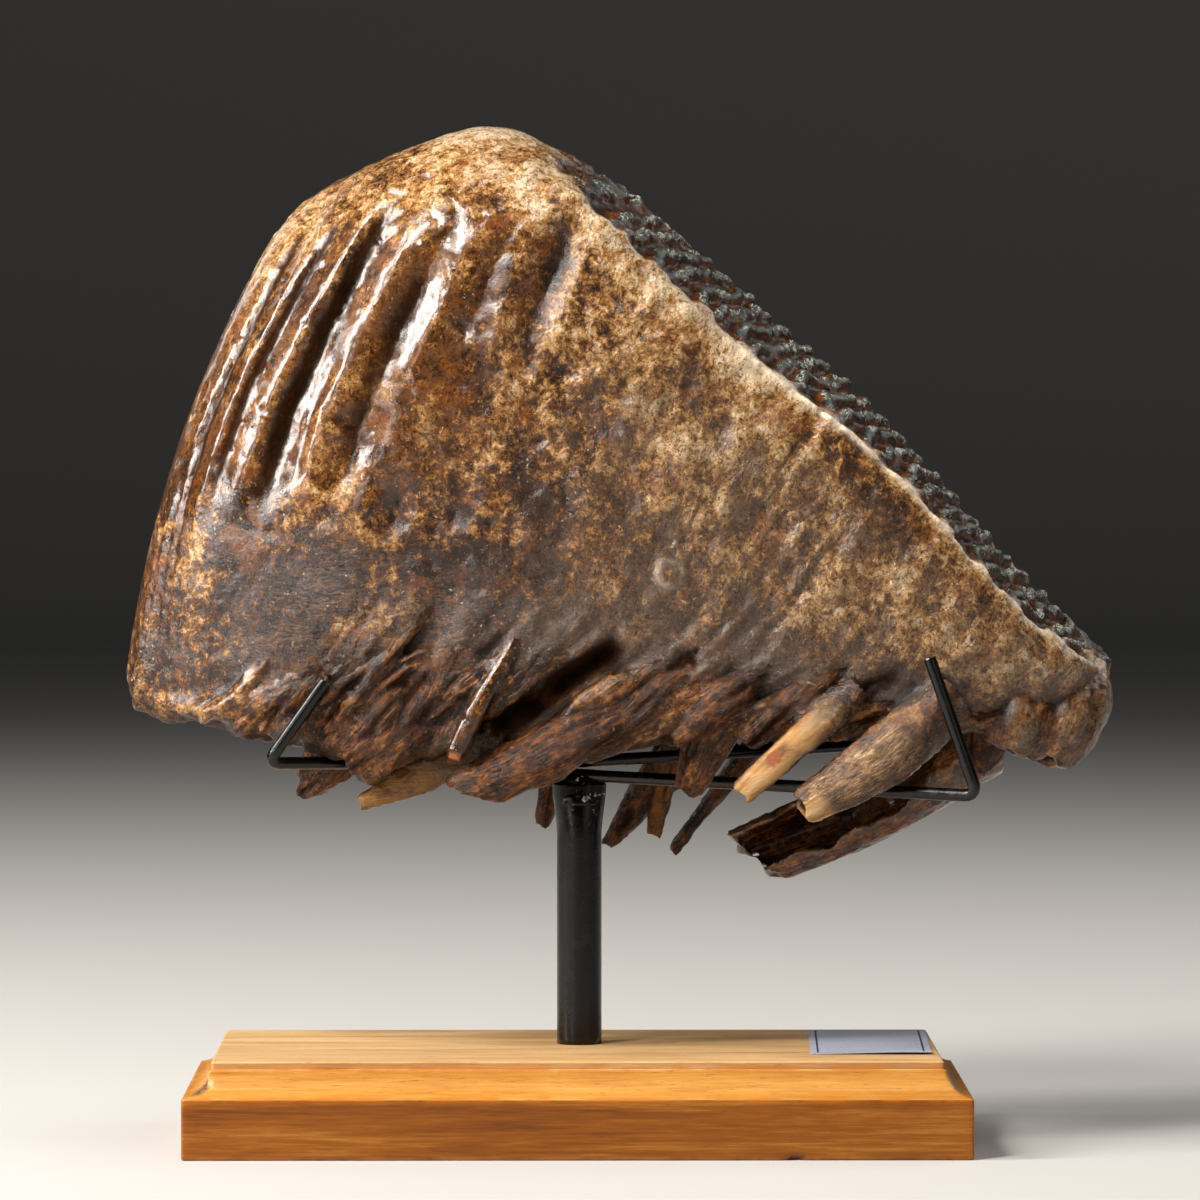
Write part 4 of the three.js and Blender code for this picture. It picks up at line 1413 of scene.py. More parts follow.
        # Painted shade with dirt: the broken end's pit and the gaps between fibres are marked for
        # darkening.
        pit = clamp01(-rise / 1.2)[:, None] * np.ones(self.around)
        between = smoothstep(0.50, 0.10, fibres) * (0.1 + 0.7 * horn.creased)
        values["cavity"] = flat_value(np.maximum(pit, between))
        if horn.tint.value in values:
            middle = smoothstep(0.93, 0.66, np.abs(np.cos(turn)))
            values[horn.tint.value] = flat_value(below * middle)
        if horn.tint is Tint.FIBROUS:
            tip = smoothstep(0.86, 0.93, share)[pick][:, None] * smoothstep(0.5, -0.2, np.cos(turn))
            values["ivory"] = flat_value(tip)
        values["gritty"] += horn.gritty
        return Shell(capped_points(rings), ring_faces(*rings.shape[:2]), values)

    def _tube(self, noise: Noise) -> Shell:
        """Make the biggest root, a broken tube that is open towards the viewer.

        Args:
            noise: The noise that makes it irregular.

        Returns:
            The closed wall of the tube.
        """
        share = np.linspace(0, 1, self.tube_along)
        line = self._line(self.tube_path, share)
        forward, sideways, upward = line_frames(line, (0, 1, 0))
        a = through([0, 0.5, 1], list(self.tube_across), share)[:, None]
        d = through([0, 0.5, 1], list(self.tube_deep), share)[:, None]
        length = float(np.linalg.norm(np.diff(line, axis=0), axis=1).sum())
        mouth = math.radians(self.tube_half_mouth_degrees) * smoothstep(0.15, 0.42, share)
        ragged_at = np.stack([share * length, 0 * share, 0 * share], -1)
        mouth = (mouth * (1 + 0.3 * noise.layered(ragged_at, 9, 2)))[:, None]
        sweep = np.linspace(0, 1, self.tube_around)
        facing = math.radians(self.tube_facing_degrees)
        turn = facing + mouth + sweep * (2 * np.pi - 2 * mouth)
        turn = np.concatenate([turn, turn[:, ::-1]], 1)
        inner = np.repeat([0.0, 1.0], self.tube_around)
        lengthwise = (share * length)[:, None] * np.ones(2 * self.tube_around)
        around = np.stack([a * np.cos(turn), lengthwise * 0.14, d * np.sin(turn)], -1)
        fibres = noise.ridged(around.reshape(-1, 3) + 31, 2.6).reshape(turn.shape)
        lumps = noise.layered(around.reshape(-1, 3) + 77, 9, 2).reshape(turn.shape)
        wall = self.tube_wall * (0.55 + 0.45 * smoothstep(0.0, 0.12, np.minimum(sweep, 1 - sweep)))
        wall = np.concatenate([wall, wall[::-1]])
        cut = inner * wall + (1 - inner) * (0.5 - 0.5 * (fibres - 0.6)) + 0.5 * lumps
        arm = (upward[:, None] * ((a - cut) * np.cos(turn))[..., None]
               + sideways[:, None] * ((d - cut) * np.sin(turn))[..., None])
        torn = noise.layered(arm.reshape(-1, 3) + 60, 8, 3).reshape(turn.shape)
        slide = smoothstep(0.7, 1.0, share)[:, None] * (3.4 * torn + 5.5 * (np.cos(turn) > 0) - 2)
        rings = line[:, None] + arm + forward[:, None] * slide[..., None]
        values = blank_values(rings.shape[0] * rings.shape[1] + 2)
        grain = np.stack([a * np.cos(turn), lengthwise, d * np.sin(turn)], -1) * MM
        values["grain"] = capped_points(grain)
        values["root"] += 1.0
        hollow = np.concatenate([np.tile(inner, self.tube_along), [1.0, 1.0]])
        # Painted shade: the tube's inner wall is marked for darkening.
        values["cavity"] = 0.35 * hollow
        values["inside"] = hollow
        values["gritty"] += 0.5
        return Shell(capped_points(rings), ring_faces(*rings.shape[:2]), values)

    def _fringe(self, crown: Crown) -> list[Horn]:
        """Draw the small slanting folds along both lower edges of the crown.

        Args:
            crown: The crown that they grow from.

        Returns:
            One horn for each fold.
        """
        draw = np.random.default_rng(8)
        drawn = []
        for side in (-1, 1):
            for plate in np.arange(3.4, 18.8, self.fringe_pitch):
                shift, tall, drop, reach, fat, proud = draw.uniform(-1, 1, 6)
                at = np.array([plate + 1.3 + 0.25 * shift, plate + 0.6, plate])
                grown = 0.5 + 0.5 * float(smoothstep(3.5, 6.5, plate))
                rise = np.array([0.27 + 0.08 * tall, 0.14, 0.04]) * grown
                x, z = crown.plate_point(at, rise)
                width = crown.half_width(at) * 0.955
                x = x - np.array([0, 1.0, 3.0 + 2.0 * reach])
                z = z - np.array([0, 0.5, 0.6 + 1.6 * drop])
                size = 2.1 + 0.6 * fat
                y = side * (width + 0.55 * proud - np.array([2.6, size - 1.0, size + 1.6]))
                if side < 0 and crown.in_carving(float(x[1]), float(z[1])):
                    continue
                path = tuple(zip(x.tolist(), y.tolist(), z.tolist()))
                low = float(smoothstep(2.8, 4.5, plate))
                drawn.append(Horn(path, (size * 0.6, size, size * 0.8),
                                  (size * 0.6, size * 1.1, size * 0.9), Tint.NONE,
                                  low=low * 0.3, gritty=0.4, creased=low))
        return drawn

    def build(self, crown: Crown, noise: Noise) -> list[Shell]:
        """Make every root and fold.

        Args:
            crown: The crown that they grow from.
            noise: The noise that makes them irregular.

        Returns:
            The closed shells, still overlapping.
        """
        horns = (*self.horns, *self.folds, *self._fringe(crown))
        return [self._horn(horn, noise) for horn in horns] + [self._tube(noise)]


@dataclass
class CradleRods:
    """Two bent steel rods that cross on the post and hold the tooth between their prongs."""

    radius: float = 1.6
    bend_radius: float = 4.0
    upper: tuple[tuple[float, float, float], ...] = (
        (-63.6, -42.6, 120.8), (-78.4, -42.4, 99.9), (0.6, 6, 97.6), (90, 42, 100.8),
        (82, 41.7, 125))
    lower: tuple[tuple[float, float, float], ...] = (
        (-69, 41.6, 124), (-77, 42, 101.5), (0.6, 6, 94.1), (100.8, -47.8, 91.9),
        (88.6, -47.4, 126.8))
    around: int = 24
    bend_steps: int = 10
    straight_step: float = 4.0

    def line(self, corners: tuple[tuple[float, float, float], ...]) -> np.ndarray:
        """Give a rod's centre line.

        Args:
            corners: Its tips and the corners between them.

        Returns:
            Places along straight runs that are joined by round bends.
        """
        at = [np.asarray(corner, float) for corner in corners]
        places = [at[0][None]]
        start = at[0]
        for before, corner, after in zip(at, at[1:], at[2:]):
            into = corner + (before - corner) / np.linalg.norm(before - corner) * self.bend_radius
            out = corner + (after - corner) / np.linalg.norm(after - corner) * self.bend_radius
            places.append(self._run(start, into))
            u = np.linspace(0, 1, self.bend_steps + 1)[1:, None]
            places.append((1 - u) ** 2 * into + 2 * u * (1 - u) * corner + u ** 2 * out)
            start = out
        places.append(self._run(start, at[-1]))
        return np.concatenate(places)

    def _run(self, start: np.ndarray, end: np.ndarray) -> np.ndarray:
        """Return evenly spaced places from just after start up to end."""
        steps = max(2, round(float(np.linalg.norm(end - start)) / self.straight_step))
        return start + (end - start) * np.linspace(0, 1, steps + 1)[1:, None]

    def shell(self, corners: tuple[tuple[float, float, float], ...]) -> Shell:
        """Make one rod.

        Args:
            corners: Its tips and the corners between them.

        Returns:
            The closed rod, with a small chamfer round each sawn end.
        """
        line = self.line(corners)
        along = np.gradient(line, axis=0)
        along /= np.linalg.norm(along, axis=1, keepdims=True)
        arm = np.cross(along[0], (0.0, 1.0, 0.0))
        rings = []
        turn = 2 * np.pi * np.arange(self.around)[:, None] / self.around
        for place, ahead in zip(line, along):
            arm = arm - ahead * (arm @ ahead)
            arm /= np.linalg.norm(arm)
            other = np.cross(ahead, arm)
            rings.append(place + self.radius * (np.cos(turn) * arm + np.sin(turn) * other))
        sawn = []
        for ring, place, ahead in ((rings[0], line[0], -along[0]), (rings[-1], line[-1], along[-1])):
            flat = ring - place
            sawn.append([place + flat - ahead * 0.5, place + flat * 0.97 - ahead * 0.12,
                         place + flat * 0.84, place + flat * 0.5])
        stack = np.stack(sawn[0][::-1] + rings[1:-1] + sawn[1])
        worn = np.zeros(stack.shape[:2])
        worn[:3] = 1
        worn[-3:] = 1
        bare = np.concatenate([worn.ravel(), [1.0, 1.0]])
        return Shell(capped_points(stack), ring_faces(*stack.shape[:2]), {"bare": bare * 0.6})

    def build(self, finish: bpy.types.Material) -> None:
        """Make both rods and dress them."""
        for name, corners in (("rod_upper", self.upper), ("rod_lower", self.lower)):
            dress(self.shell(corners).to_object("cradle_" + name), name, finish)


@dataclass
class Tooth:
    """The whole molar: crown and roots fused into one solid, then finely worked over."""

    crown: Crown
    roots: Roots
    rods: CradleRods
    voxel: float = 0.75
    quick_voxel: float = 1.3
    triangles: int = 192_000
    rod_gap: float = 0.35

    def _fuse(self, shell: Shell) -> bpy.types.Mesh:
        """Fuse overlapping shells into one solid skin.

        Args:
            shell: All the shells together.

        Returns:
            The fused mesh, as dense as the voxel size makes it.
        """
        rough = Shell(shell.points, shell.faces, {}).to_object("rough_tooth")
        fuse = rough.modifiers.new("fuse", "REMESH")
        fuse.mode = "VOXEL"
        fuse.voxel_size = self.voxel * MM
        return self._apply(rough)

    @staticmethod
    def _apply(made: bpy.types.Object) -> bpy.types.Mesh:
        """Apply an object's modifiers and remove the object.

        Args:
            made: The object.

        Returns:
            Its finished mesh.
        """
        seen = made.evaluated_get(bpy.context.evaluated_depsgraph_get())
        mesh = bpy.data.meshes.new_from_object(seen)
        bpy.data.objects.remove(made)
        return mesh

    def _thin(self, mesh: bpy.types.Mesh) -> bpy.types.Mesh:
        """Bring a mesh down to the wanted number of triangles, keeping its relief.

        Args:
            mesh: The dense mesh.

        Returns:
            The thinner mesh.
        """
        now = sum(len(face.vertices) - 2 for face in mesh.polygons)
        made = bpy.data.objects.new("dense_tooth", mesh)
        bpy.context.scene.collection.objects.link(made)
        if now > self.triangles:
            thin = made.modifiers.new("thin", "DECIMATE")
            thin.ratio = self.triangles / now
        return self._apply(made)

    @staticmethod
    def _carry(source: Shell, points: np.ndarray) -> dict[str, np.ndarray]:
        """Carry the finish's values over from the shells to new corners.

        Args:
            source: The shells that hold the values.
            points: The new corners.

        Returns:
            The values at those corners, each from the nearest face.
        """
        tree = BVHTree.FromPolygons(source.points.tolist(), source.faces)
        hits = [tree.find_nearest(point)[2] for point in points.tolist()]
        corners = np.array([(f + f[-1:])[:4] for f in source.faces])[hits]
        away = np.linalg.norm(source.points[corners] - points[:, None], axis=2)
        weight = 1 / (away + 0.05) ** 2
        weight /= weight.sum(axis=1, keepdims=True)
        carried = {}
        for name, numbers in source.values.items():
            near = numbers[corners]
            carried[name] = np.einsum("ij,ij...->i...", weight, near)
        return carried

    @staticmethod
    def _hollows(mesh: bpy.types.Mesh, rounds: int = 60) -> np.ndarray:
        """Measure how far each corner lies in a hollow.

        Args:
            mesh: The mesh to measure.
            rounds: How often it is smoothed for the comparison.

        Returns:
            The depth below the smoothed surface in millimetres, below 0 on crests.
        """
        points = read_points(mesh)
        ends = np.empty(len(mesh.edges) * 2, np.int32)
        mesh.edges.foreach_get("vertices", ends)
        pairs = np.concatenate([ends.reshape(-1, 2), ends.reshape(-1, 2)[:, ::-1]])
        here, other = pairs[:, 0], pairs[:, 1]
        degree = np.maximum(1, np.bincount(here, minlength=len(points)))
        smooth = points.copy()
        for _ in range(rounds):
            mean = np.stack([np.bincount(here, smooth[other, axis], len(points))
                             for axis in range(3)], -1) / degree[:, None]
            smooth = 0.5 * (smooth + mean)
        return np.einsum("ij,ij->i", smooth - points, read_normals(mesh))

    def _work_over(self, points: np.ndarray, normals: np.ndarray, noise: Noise) -> np.ndarray:
        """Add the finest relief that the mesh can hold.

        Args:
            points: Places of the corners.
            normals: Their unit normals.
            noise: The noise for the relief.

        Returns:
            The moved corners.
        """
        lift = 0.16 * noise.at(points, 2.3) + 0.10 * noise.at(points + 5, 1.4)
        pits = smoothstep(0.45, 0.8, noise.at(points + 60, 4.2))
        return points + normals * (lift - 0.5 * pits)[:, None]

    def _clear_rods(self, points: np.ndarray) -> np.ndarray:
        """Push corners out of the rods' way.

        Args:
            points: Places of the corners, which are changed in place.

        Returns:
            The same places.
        """
        keep = self.rods.radius + self.rod_gap
        for corners in (self.rods.upper, self.rods.lower):
            line = self.rods.line(corners)
            for start, end in zip(line, line[1:]):
                run = end - start
                share = clamp01((points - start) @ run / (run @ run))
                arm = points - (start + share[:, None] * run)
                away = np.linalg.norm(arm, axis=1)
                close = away < keep
                grow = keep / np.maximum(away[close], 1e-3)
                points[close] += arm[close] * (grow - 1)[:, None]
        return points

    def build(self, finish: bpy.types.Material) -> bpy.types.Object:
        """Make the tooth and dress it.

        Args:
            finish: The tooth's material.

        Returns:
            The finished piece.
        """
        source = Shell.join([self.crown.build(Noise(11)), *self.roots.build(self.crown, Noise(23))])
        mesh = self._fuse(source)
        points = self._work_over(read_points(mesh), read_normals(mesh), Noise(37))
        low, high = (np.asarray(corner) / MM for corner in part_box("molar"))
        points = self._clear_rods(np.clip(points, low + 0.05, high - 0.05))
        write_points(mesh, points)
        mesh = self._thin(mesh)
        values = self._carry(source, read_points(mesh))
        # The hollow depth drives painted shade in the finish; the tube's inside takes less of it.
        values["hollow"] = self._hollows(mesh) * (1 - 0.75 * values.pop("inside"))
        points = read_points(mesh)
        for x, z, radius in self.roots.windows:
            arm = points[:, ::2] - (x, z)
            away = np.hypot(arm @ (0.74, 0.67) / 1.5, arm @ (-0.67, 0.74)) / radius
            spot = smoothstep(1.25, 0.55, away) * (points[:, 1] < -30)
            values["window"] = np.maximum(values["window"], spot)
        write_values(mesh, values)
        mesh.shade_smooth()
        mesh.name = "fossil_molar"
        piece = bpy.data.objects.new("fossil_molar", mesh)
        bpy.context.scene.collection.objects.link(piece)
        dress(piece, "molar", finish)
        return piece


@dataclass
class SteelPost:
    """The black steel post, squeezed flat at its top under lumps of weld."""

    centre: tuple[float, float] = (0.6, 6)
    radius: float = 5.8
    bottom: float = 24.3
    top: float = 92.3
    flare_start: float = 78
    flare_radius: float = 7
    weld_bottom: float = 86.5
    weld_top: float = 96.2
    weld_radius: float = 6.4
    weld_flatness: float = 0.8
    weld_taper: float = 0.7
    around: int = 72

    def _bar(self) -> Shell:
        """Make the bar: round below and squeezed wide above.

        Returns:
            The closed bar.
        """
        heights = np.concatenate([np.linspace(self.bottom, self.flare_start, 30),
                                  np.linspace(self.flare_start, self.top, 24)[1:]])
        flare = smoothstep(self.flare_start, self.top, heights)[:, None]
        flare = flare * (self.flare_radius - self.radius)
        turn = -2 * np.pi * np.arange(self.around) / self.around
        x = self.centre[0] + (self.radius + flare) * np.cos(turn)
        y = self.centre[1] + (self.radius - flare) * np.sin(turn)
        z = heights[:, None] * np.ones(self.around)
        rings = np.stack([x, y, z], -1)[:, ::-1]
        inset = self._shrunk(rings[-1], 0.9, 0.45)
        rings = np.concatenate([rings[:-1], self._shrunk(rings[-1], 1.0, -0.6)[None], inset[None]])
        bare = smoothstep(80, 92, rings[..., 2])
        return Shell(capped_points(rings), ring_faces(*rings.shape[:2]),
                     {"bare": np.concatenate([bare.ravel(), [0.0, 1.0]])})

    @staticmethod
    def _shrunk(ring: np.ndarray, share: float, rise: float) -> np.ndarray:
        """Return a ring shrunk about its middle and raised."""
        middle = ring.mean(axis=0)
        return middle + (ring - middle) * share + np.array([0, 0, rise])

    def _weld(self, noise: Noise) -> Shell:
        """Make the lumpy weld bead round the crossing rods.

        Args:
            noise: The noise for its lumps.

        Returns:
            The closed bead.
        """
        u = np.linspace(0, 1, 30)[:, None]
        radius = self.weld_radius * np.sqrt(1 - self.weld_taper * u ** 2)
        turn = 2 * np.pi * np.arange(self.around) / self.around
        z = mix(self.weld_bottom, self.weld_top - 0.6, u) * np.ones(self.around)
        arms = np.stack([radius * np.cos(turn), self.weld_flatness * radius * np.sin(turn), z], -1)
        lumps = noise.layered(arms.reshape(-1, 3), 3.4, 2).reshape(z.shape)
        grow = 1 + 0.13 * lumps * smoothstep(0.05, 0.25, u)
        arms[..., :2] *= grow[..., None]
        rings = arms + np.array([*self.centre, 0])
        bare = np.ones(rings.shape[0] * rings.shape[1] + 2)
        return Shell(capped_points(rings), ring_faces(*rings.shape[:2]), {"bare": bare})

    def build(self, finish: bpy.types.Material) -> None:
        """Make the post with its weld and dress it."""
        shell = Shell.join([self._bar(), self._weld(Noise(5))])
        dress(shell.to_object("steel_post"), "post", finish)


@dataclass(frozen=True)
class Dent:
    """A chip or nick in the wood: where it is, how far it reaches and how deep it goes."""

    centre: tuple[float, float, float]
    reach: tuple[float, float, float]
    depth: float


@dataclass
class WoodenBase:
    """The wooden base: a board with a coved edge under a thin upright lip."""

    length: float = 200
    depth: float = 100
    height: float = 24.3
    side_height: float = 15.4
    lip_height: float = 2.1
    lip_inset: float = 7.2
    cove_inset: float = 6.6
    cove_depth: float = 0.75
    edge_radius: float = 0.5
    corner_radius: float = 0.8
    end_steps: int = 56
    front_steps: int = 110
    dents: tuple[Dent, ...] = (
        Dent((-96.2, -41, 19.5), (3.5, 9, 4.5), 1.5),
        Dent((-94, -45.5, 23.2), (2.5, 2.5, 2.5), 0.9),
        Dent((55.1, -50, 0.2), (2.2, 2, 1.6), 1.1),
        Dent((-60, -43.0, 22.6), (7, 1.2, 0.9), 0.5),
        Dent((63, -50, 15.3), (3, 1, 0.8), 0.35),
        Dent((98, 20, 15.2), (2, 6, 1), 0.4),
    )

    def _levels(self) -> list[tuple[float, float, float, float]]:
        """Give the board's profile.

        Returns:
            Inset, height, and how much it is side and cove, for each level from the bottom up.
        """
        r = self.edge_radius
        levels = [(3.0, 0.0, 1, 0), (r + 0.3, 0.0, 1, 0), (r, 0.0, 1, 0), (r * 0.3, r * 0.3, 1, 0),
                  (0, r, 1, 0)]
        levels += [(0, z, 1, 0) for z in np.linspace(r, self.side_height - r, 14)[1:]]
        levels += [(0.05, self.side_height - 0.3 * r, 1, 0), (r * 0.45, self.side_height, 0.5, 0.5)]
        rise = self.height - self.lip_height - self.side_height
        for u in np.linspace(0.08, 1, 20):
            hollow = self.cove_depth * u * (1 - u)
            levels.append((self.cove_inset * (u + hollow), self.side_height + rise * (u - hollow),
                           0, 1))
        lip = self.height - self.lip_height
        levels += [(self.lip_inset - 0.1, lip + 0.05, 0, 0.6), (self.lip_inset, lip + 0.3, 0.6, 0),
                   (self.lip_inset, self.height - 0.45, 0.6, 0),
                   (self.lip_inset + 0.12, self.height - 0.12, 0.2, 0),
                   (self.lip_inset + 0.45, self.height, 0, 0),
                   (self.lip_inset + 0.8, self.height, 0, 0), (self.lip_inset + 3, self.height, 0, 0)]
        return levels

    def _outline(self, inset: float) -> np.ndarray:
        """Draw the board's outline.

        Args:
            inset: How far it lies inside the board's sides.

        Returns:
            The rounded rectangle as an (n, 2) array, turning anticlockwise.
        """
        half = np.array([self.length / 2 - inset, self.depth / 2 - inset])
        r = self.corner_radius
        corners = [(1, -1, -90), (1, 1, 0), (-1, 1, 90), (-1, -1, 180)]
        steps = [self.end_steps, self.front_steps] * 2
        ring: list[np.ndarray] = []
        for index, (sx, sy, start) in enumerate(corners):
            turn = np.radians(start + np.linspace(0, 90, 5))
            middle = np.array([sx, sy]) * (half - r)
            arc = middle + r * np.stack([np.cos(turn), np.sin(turn)], -1)
            nx, ny, following = corners[(index + 1) % 4]
            first = np.radians(following)
            aim = np.array([nx, ny]) * (half - r) + r * np.array([np.cos(first), np.sin(first)])
            share = np.linspace(0, 1, steps[index] + 1)[1:-1, None]
            ring += [arc, arc[-1] + (aim - arc[-1]) * share]
        return np.concatenate(ring)

    def build(self, finish: bpy.types.Material) -> None:
        """Make the base, chip its edges and dress it.

        Args:
            finish: The wood's material.
        """
        levels = self._levels()
        outlines = [self._outline(inset) for inset, *_ in levels]
        rings = np.stack([np.column_stack([line, np.full(len(line), z)])
                          for line, (_, z, *_) in zip(outlines, levels)])
        noise = Noise(71)
        bruise = np.zeros(rings.shape[:2])
        inward = -rings * np.array([0.35, 1.0, 0])
        inward /= np.maximum(1e-6, np.linalg.norm(inward, axis=2, keepdims=True))
        flat = noise.layered(rings.reshape(-1, 3), 3.0, 2).reshape(rings.shape[:2])
        for index, dent in enumerate(self.dents):
            near = np.linalg.norm((rings - dent.centre) / dent.reach, axis=2) + 0.35 * flat
            hole = smoothstep(1.0, 0.55, near)
            rings = rings + inward * (hole * dent.depth)[..., None]
            if index in (0, 2):
                bruise = np.maximum(bruise, hole)
        side = np.array([level[2] for level in levels])[:, None] * np.ones(rings.shape[1])
        cove = np.array([level[3] for level in levels])[:, None] * np.ones(rings.shape[1])
        z = rings[..., 2]
        edge = (np.exp(-((z - self.side_height) / 0.55) ** 2) + np.exp(-(z / 0.7) ** 2)
                + np.exp(-((z - self.height + self.lip_height) / 0.6) ** 2))
        ends = np.exp(-((np.abs(rings[..., 0]) - self.length / 2) / 0.6) ** 2) * 0.5
        values = {"side": side, "cove": cove, "edge": clamp01(edge + ends), "bruise": bruise}
        faces = ring_faces(*rings.shape[:2], capped=False)
        count = rings.shape[1]
        last = (rings.shape[0] - 1) * count
        faces += [list(range(count - 1, -1, -1)), [last + i for i in range(count)]]
        shell = Shell(rings.reshape(-1, 3), faces, {k: v.ravel() for k, v in values.items()})
        dress(shell.to_object("wooden_base"), "base", finish)


@dataclass
class PaperLabel:
    """The card on the base: blank between ruled lines, its front edge a little curled."""

    width: float = 31
    length: float = 64
    thickness: float = 0.22
    centre: tuple[float, float] = (76, 7)
    turn_degrees: float = -1.5
    base_top: float = 24.3
    frame_inset: float = 1.9
    line_width: float = 0.5

    def build(self, finish: bpy.types.Material) -> None:
        """Make the card and dress it.

        Args:
            finish: The card's material.
        """
        u, v = np.meshgrid(np.linspace(-0.5, 0.5, 94), np.linspace(-0.5, 0.5, 193), indexing="ij")
        x, y = u * self.width, v * self.length
        points = np.stack([x, y, 0 * x], -1).reshape(-1, 3)
        waves = Noise(3).at(points, 18).reshape(x.shape)
        curl = 0.55 * smoothstep(-0.40, -0.5, v) * smoothstep(-0.55, 0.35, u)
        lift = 0.02 + 0.05 * (waves + 1) + curl
        turn = math.radians(self.turn_degrees)
        px = self.centre[0] + x * math.cos(turn) - y * math.sin(turn)
        py = self.centre[1] + x * math.sin(turn) + y * math.cos(turn)
        low = np.stack([px, py, self.base_top + lift], -1)
        high = low + np.array([0, 0, self.thickness])
        border = np.minimum(self.width / 2 - np.abs(x), self.length / 2 - np.abs(y))
        ruled = clamp01(1.0 - np.abs(border - self.frame_inset) / self.line_width)
        rows, columns = x.shape
        here = (np.arange(rows - 1)[:, None] * columns + np.arange(columns - 1)).ravel()
        top = rows * columns
        quads = np.stack([here, here + columns, here + columns + 1, here + 1], -1)
        faces = quads[:, ::-1].tolist() + (quads + top).tolist()
        loop = ([i * columns for i in range(rows)]
                + [(rows - 1) * columns + j for j in range(1, columns)]
                + [i * columns + columns - 1 for i in range(rows - 2, -1, -1)]
                + list(range(columns - 2, 0, -1)))
        faces += [[a, b, b + top, a + top] for a, b in zip(loop, loop[1:] + loop[:1])]
        points = np.concatenate([low.reshape(-1, 3), high.reshape(-1, 3)])
        values = {"ruled": np.concatenate([np.zeros(top), ruled.ravel()])}
        piece = Shell(points, faces, values).to_object("paper_label", smooth=False)
        dress(piece, "label", finish)


@dataclass(frozen=True)
class SoftLight:
    """One soft studio light: where it stands, what it looks at, its size and its power."""

    name: str
    place: tuple[float, float, float]
    aim: tuple[float, float, float]
    size: tuple[float, float]
    watts: float
    colour: Colour = (1.0, 0.97, 0.93)


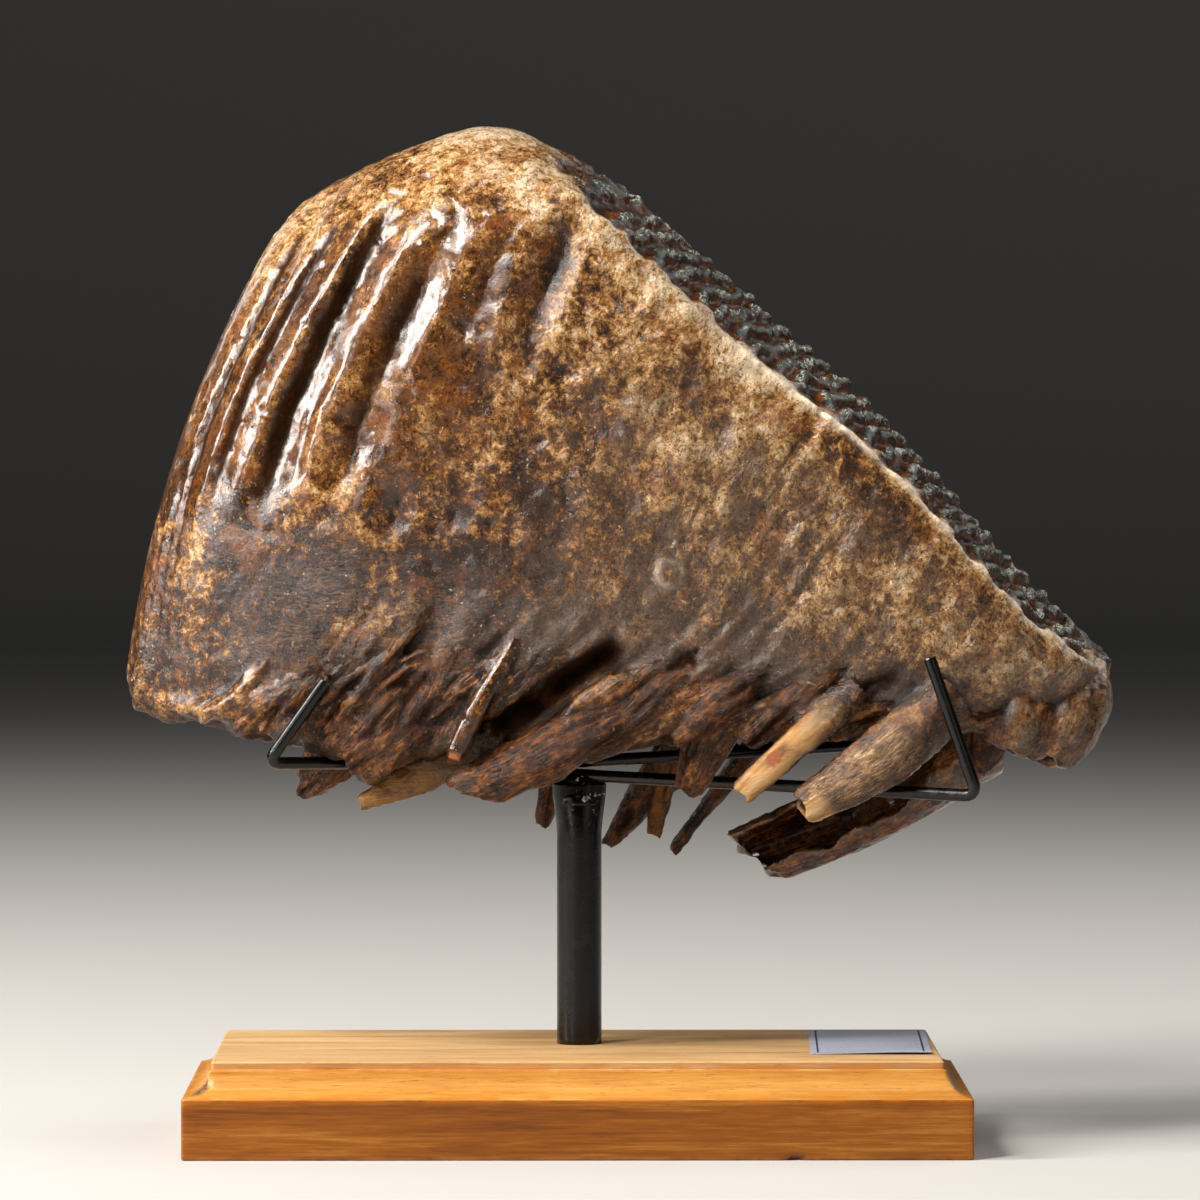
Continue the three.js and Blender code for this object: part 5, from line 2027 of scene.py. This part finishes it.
@dataclass
class Studio:
    """A round studio painted pale in the middle and darker further out, with soft lights, and the
    camera at the picture's angle.
    """

    floor_radius: float = 3.4
    wall_radius: float = 4.2
    wall_height: float = 2.6
    camera_place: tuple[float, float, float] = (-0.00646, -1.764, 0.1967)
    camera_aim: tuple[float, float, float] = (0.00595, 0.0, 0.1398)
    picture_pixels: float = 1200
    focal_pixels: float = 6822
    sensor_width: float = 36
    ambient: float = 0.12
    lights: tuple[SoftLight, ...] = (
        SoftLight("key", (-0.72, -0.80, 1.15), (0.0, 0.0, 0.17), (0.26, 0.55), 30),
        SoftLight("strip", (-1.20, -0.30, 0.80), (0.0, 0.0, 0.17), (0.26, 0.80), 31),
        SoftLight("low_left", (-0.95, -1.15, 0.42), (0.0, 0.0, 0.13), (0.14, 0.14), 3),
        SoftLight("fill", (1.2, -1.6, 0.6), (0.0, 0.0, 0.15), (1.0, 0.8), 2.0),
        SoftLight("top", (0.35, -0.1, 1.3), (0.02, 0.0, 0.15), (0.5, 0.5), 4.0),
        SoftLight("back_right", (1.0, 0.8, 0.8), (0.05, 0.0, 0.18), (0.5, 0.6), 5),
        SoftLight("back_left", (-1.0, 1.4, 0.8), (0.0, 0.0, 0.15), (0.6, 0.6), 3),
    )

    def _stage(self) -> None:
        """Make the floor with its rounded rise into the wall, all the way round."""
        count = 96
        turn = 2 * np.pi * np.arange(count) / count
        rise = self.wall_radius - self.floor_radius
        profile = [(r, 0.0) for r in (0.02, 0.5, 0.7, 0.9, 1.1, 1.3, 1.6, 1.9, 2.3, 2.8, 3.1)]
        profile.append((self.floor_radius, 0.0))
        for angle in np.linspace(0, np.pi / 2, 13)[1:]:
            profile.append((self.floor_radius + rise * math.sin(angle),
                            rise * (1 - math.cos(angle))))
        profile.append((self.wall_radius, self.wall_height))
        rings = np.stack([np.stack([r * np.cos(turn), r * np.sin(turn), np.full(count, z)], -1)
                          for r, z in profile])
        faces = ring_faces(*rings.shape[:2], capped=False)
        faces.append(list(range(count)))
        # Painted falloff of light: darker from 0.5 m out to 2.6 m from the middle.
        painted_falloff = smoothstep(0.5, 2.6, np.linalg.norm(rings[..., :2], axis=2))
        shell = Shell(rings.reshape(-1, 3) / MM, faces, {"painted_falloff": painted_falloff.ravel()})
        floor = shell.to_object("studio_floor")
        floor.data.flip_normals()
        floor.data.materials.append(StageFinish().build())

    def _lights(self) -> None:
        """Put up the soft lights and the faint light from all round."""
        for light in self.lights:
            lamp = bpy.data.lights.new(light.name, "AREA")
            lamp.shape = "RECTANGLE"
            lamp.size, lamp.size_y = light.size
            lamp.energy = light.watts
            lamp.color = light.colour
            holder = bpy.data.objects.new(light.name, lamp)
            holder.location = light.place
            towards = Vector(light.aim) - Vector(light.place)
            holder.rotation_euler = towards.to_track_quat("-Z", "Y").to_euler()
            bpy.context.scene.collection.objects.link(holder)
        world = bpy.data.worlds.new("soft_room")
        world.use_nodes = True
        bpy.context.scene.view_settings.view_transform = "Standard"
        sky = world.node_tree.nodes["Background"]
        sky.inputs["Color"].default_value = (0.95, 0.97, 1.0, 1.0)
        sky.inputs["Strength"].default_value = self.ambient
        bpy.context.scene.world = world

    def _camera(self) -> None:
        """Set the camera where the picture was taken from."""
        lens = bpy.data.cameras.new("picture_camera")
        lens.sensor_width = self.sensor_width
        lens.lens = self.focal_pixels / self.picture_pixels * self.sensor_width
        lens.clip_start, lens.clip_end = 0.1, 50
        camera = bpy.data.objects.new("picture_camera", lens)
        camera.location = self.camera_place
        towards = Vector(self.camera_aim) - Vector(self.camera_place)
        camera.rotation_euler = towards.to_track_quat("-Z", "Y").to_euler()
        bpy.context.scene.collection.objects.link(camera)
        bpy.context.scene.camera = camera

    def build(self) -> None:
        """Make the stage, the lights and the camera."""
        self._stage()
        self._lights()
        self._camera()
        LOG.info("studio: %d lights", len(self.lights))


def main() -> None:
    """Build the studio and every piece of the displayed molar, in order."""
    logging.basicConfig(level=logging.INFO, format="%(message)s")
    Studio().build()
    steel = SteelFinish().build()
    rods = CradleRods()
    WoodenBase().build(WoodFinish().build())
    PaperLabel().build(PaperFinish().build())
    SteelPost().build(steel)
    rods.build(steel)
    Tooth(Crown(), Roots(), rods).build(ToothFinish().build())


if __name__ == "__main__":
    main()
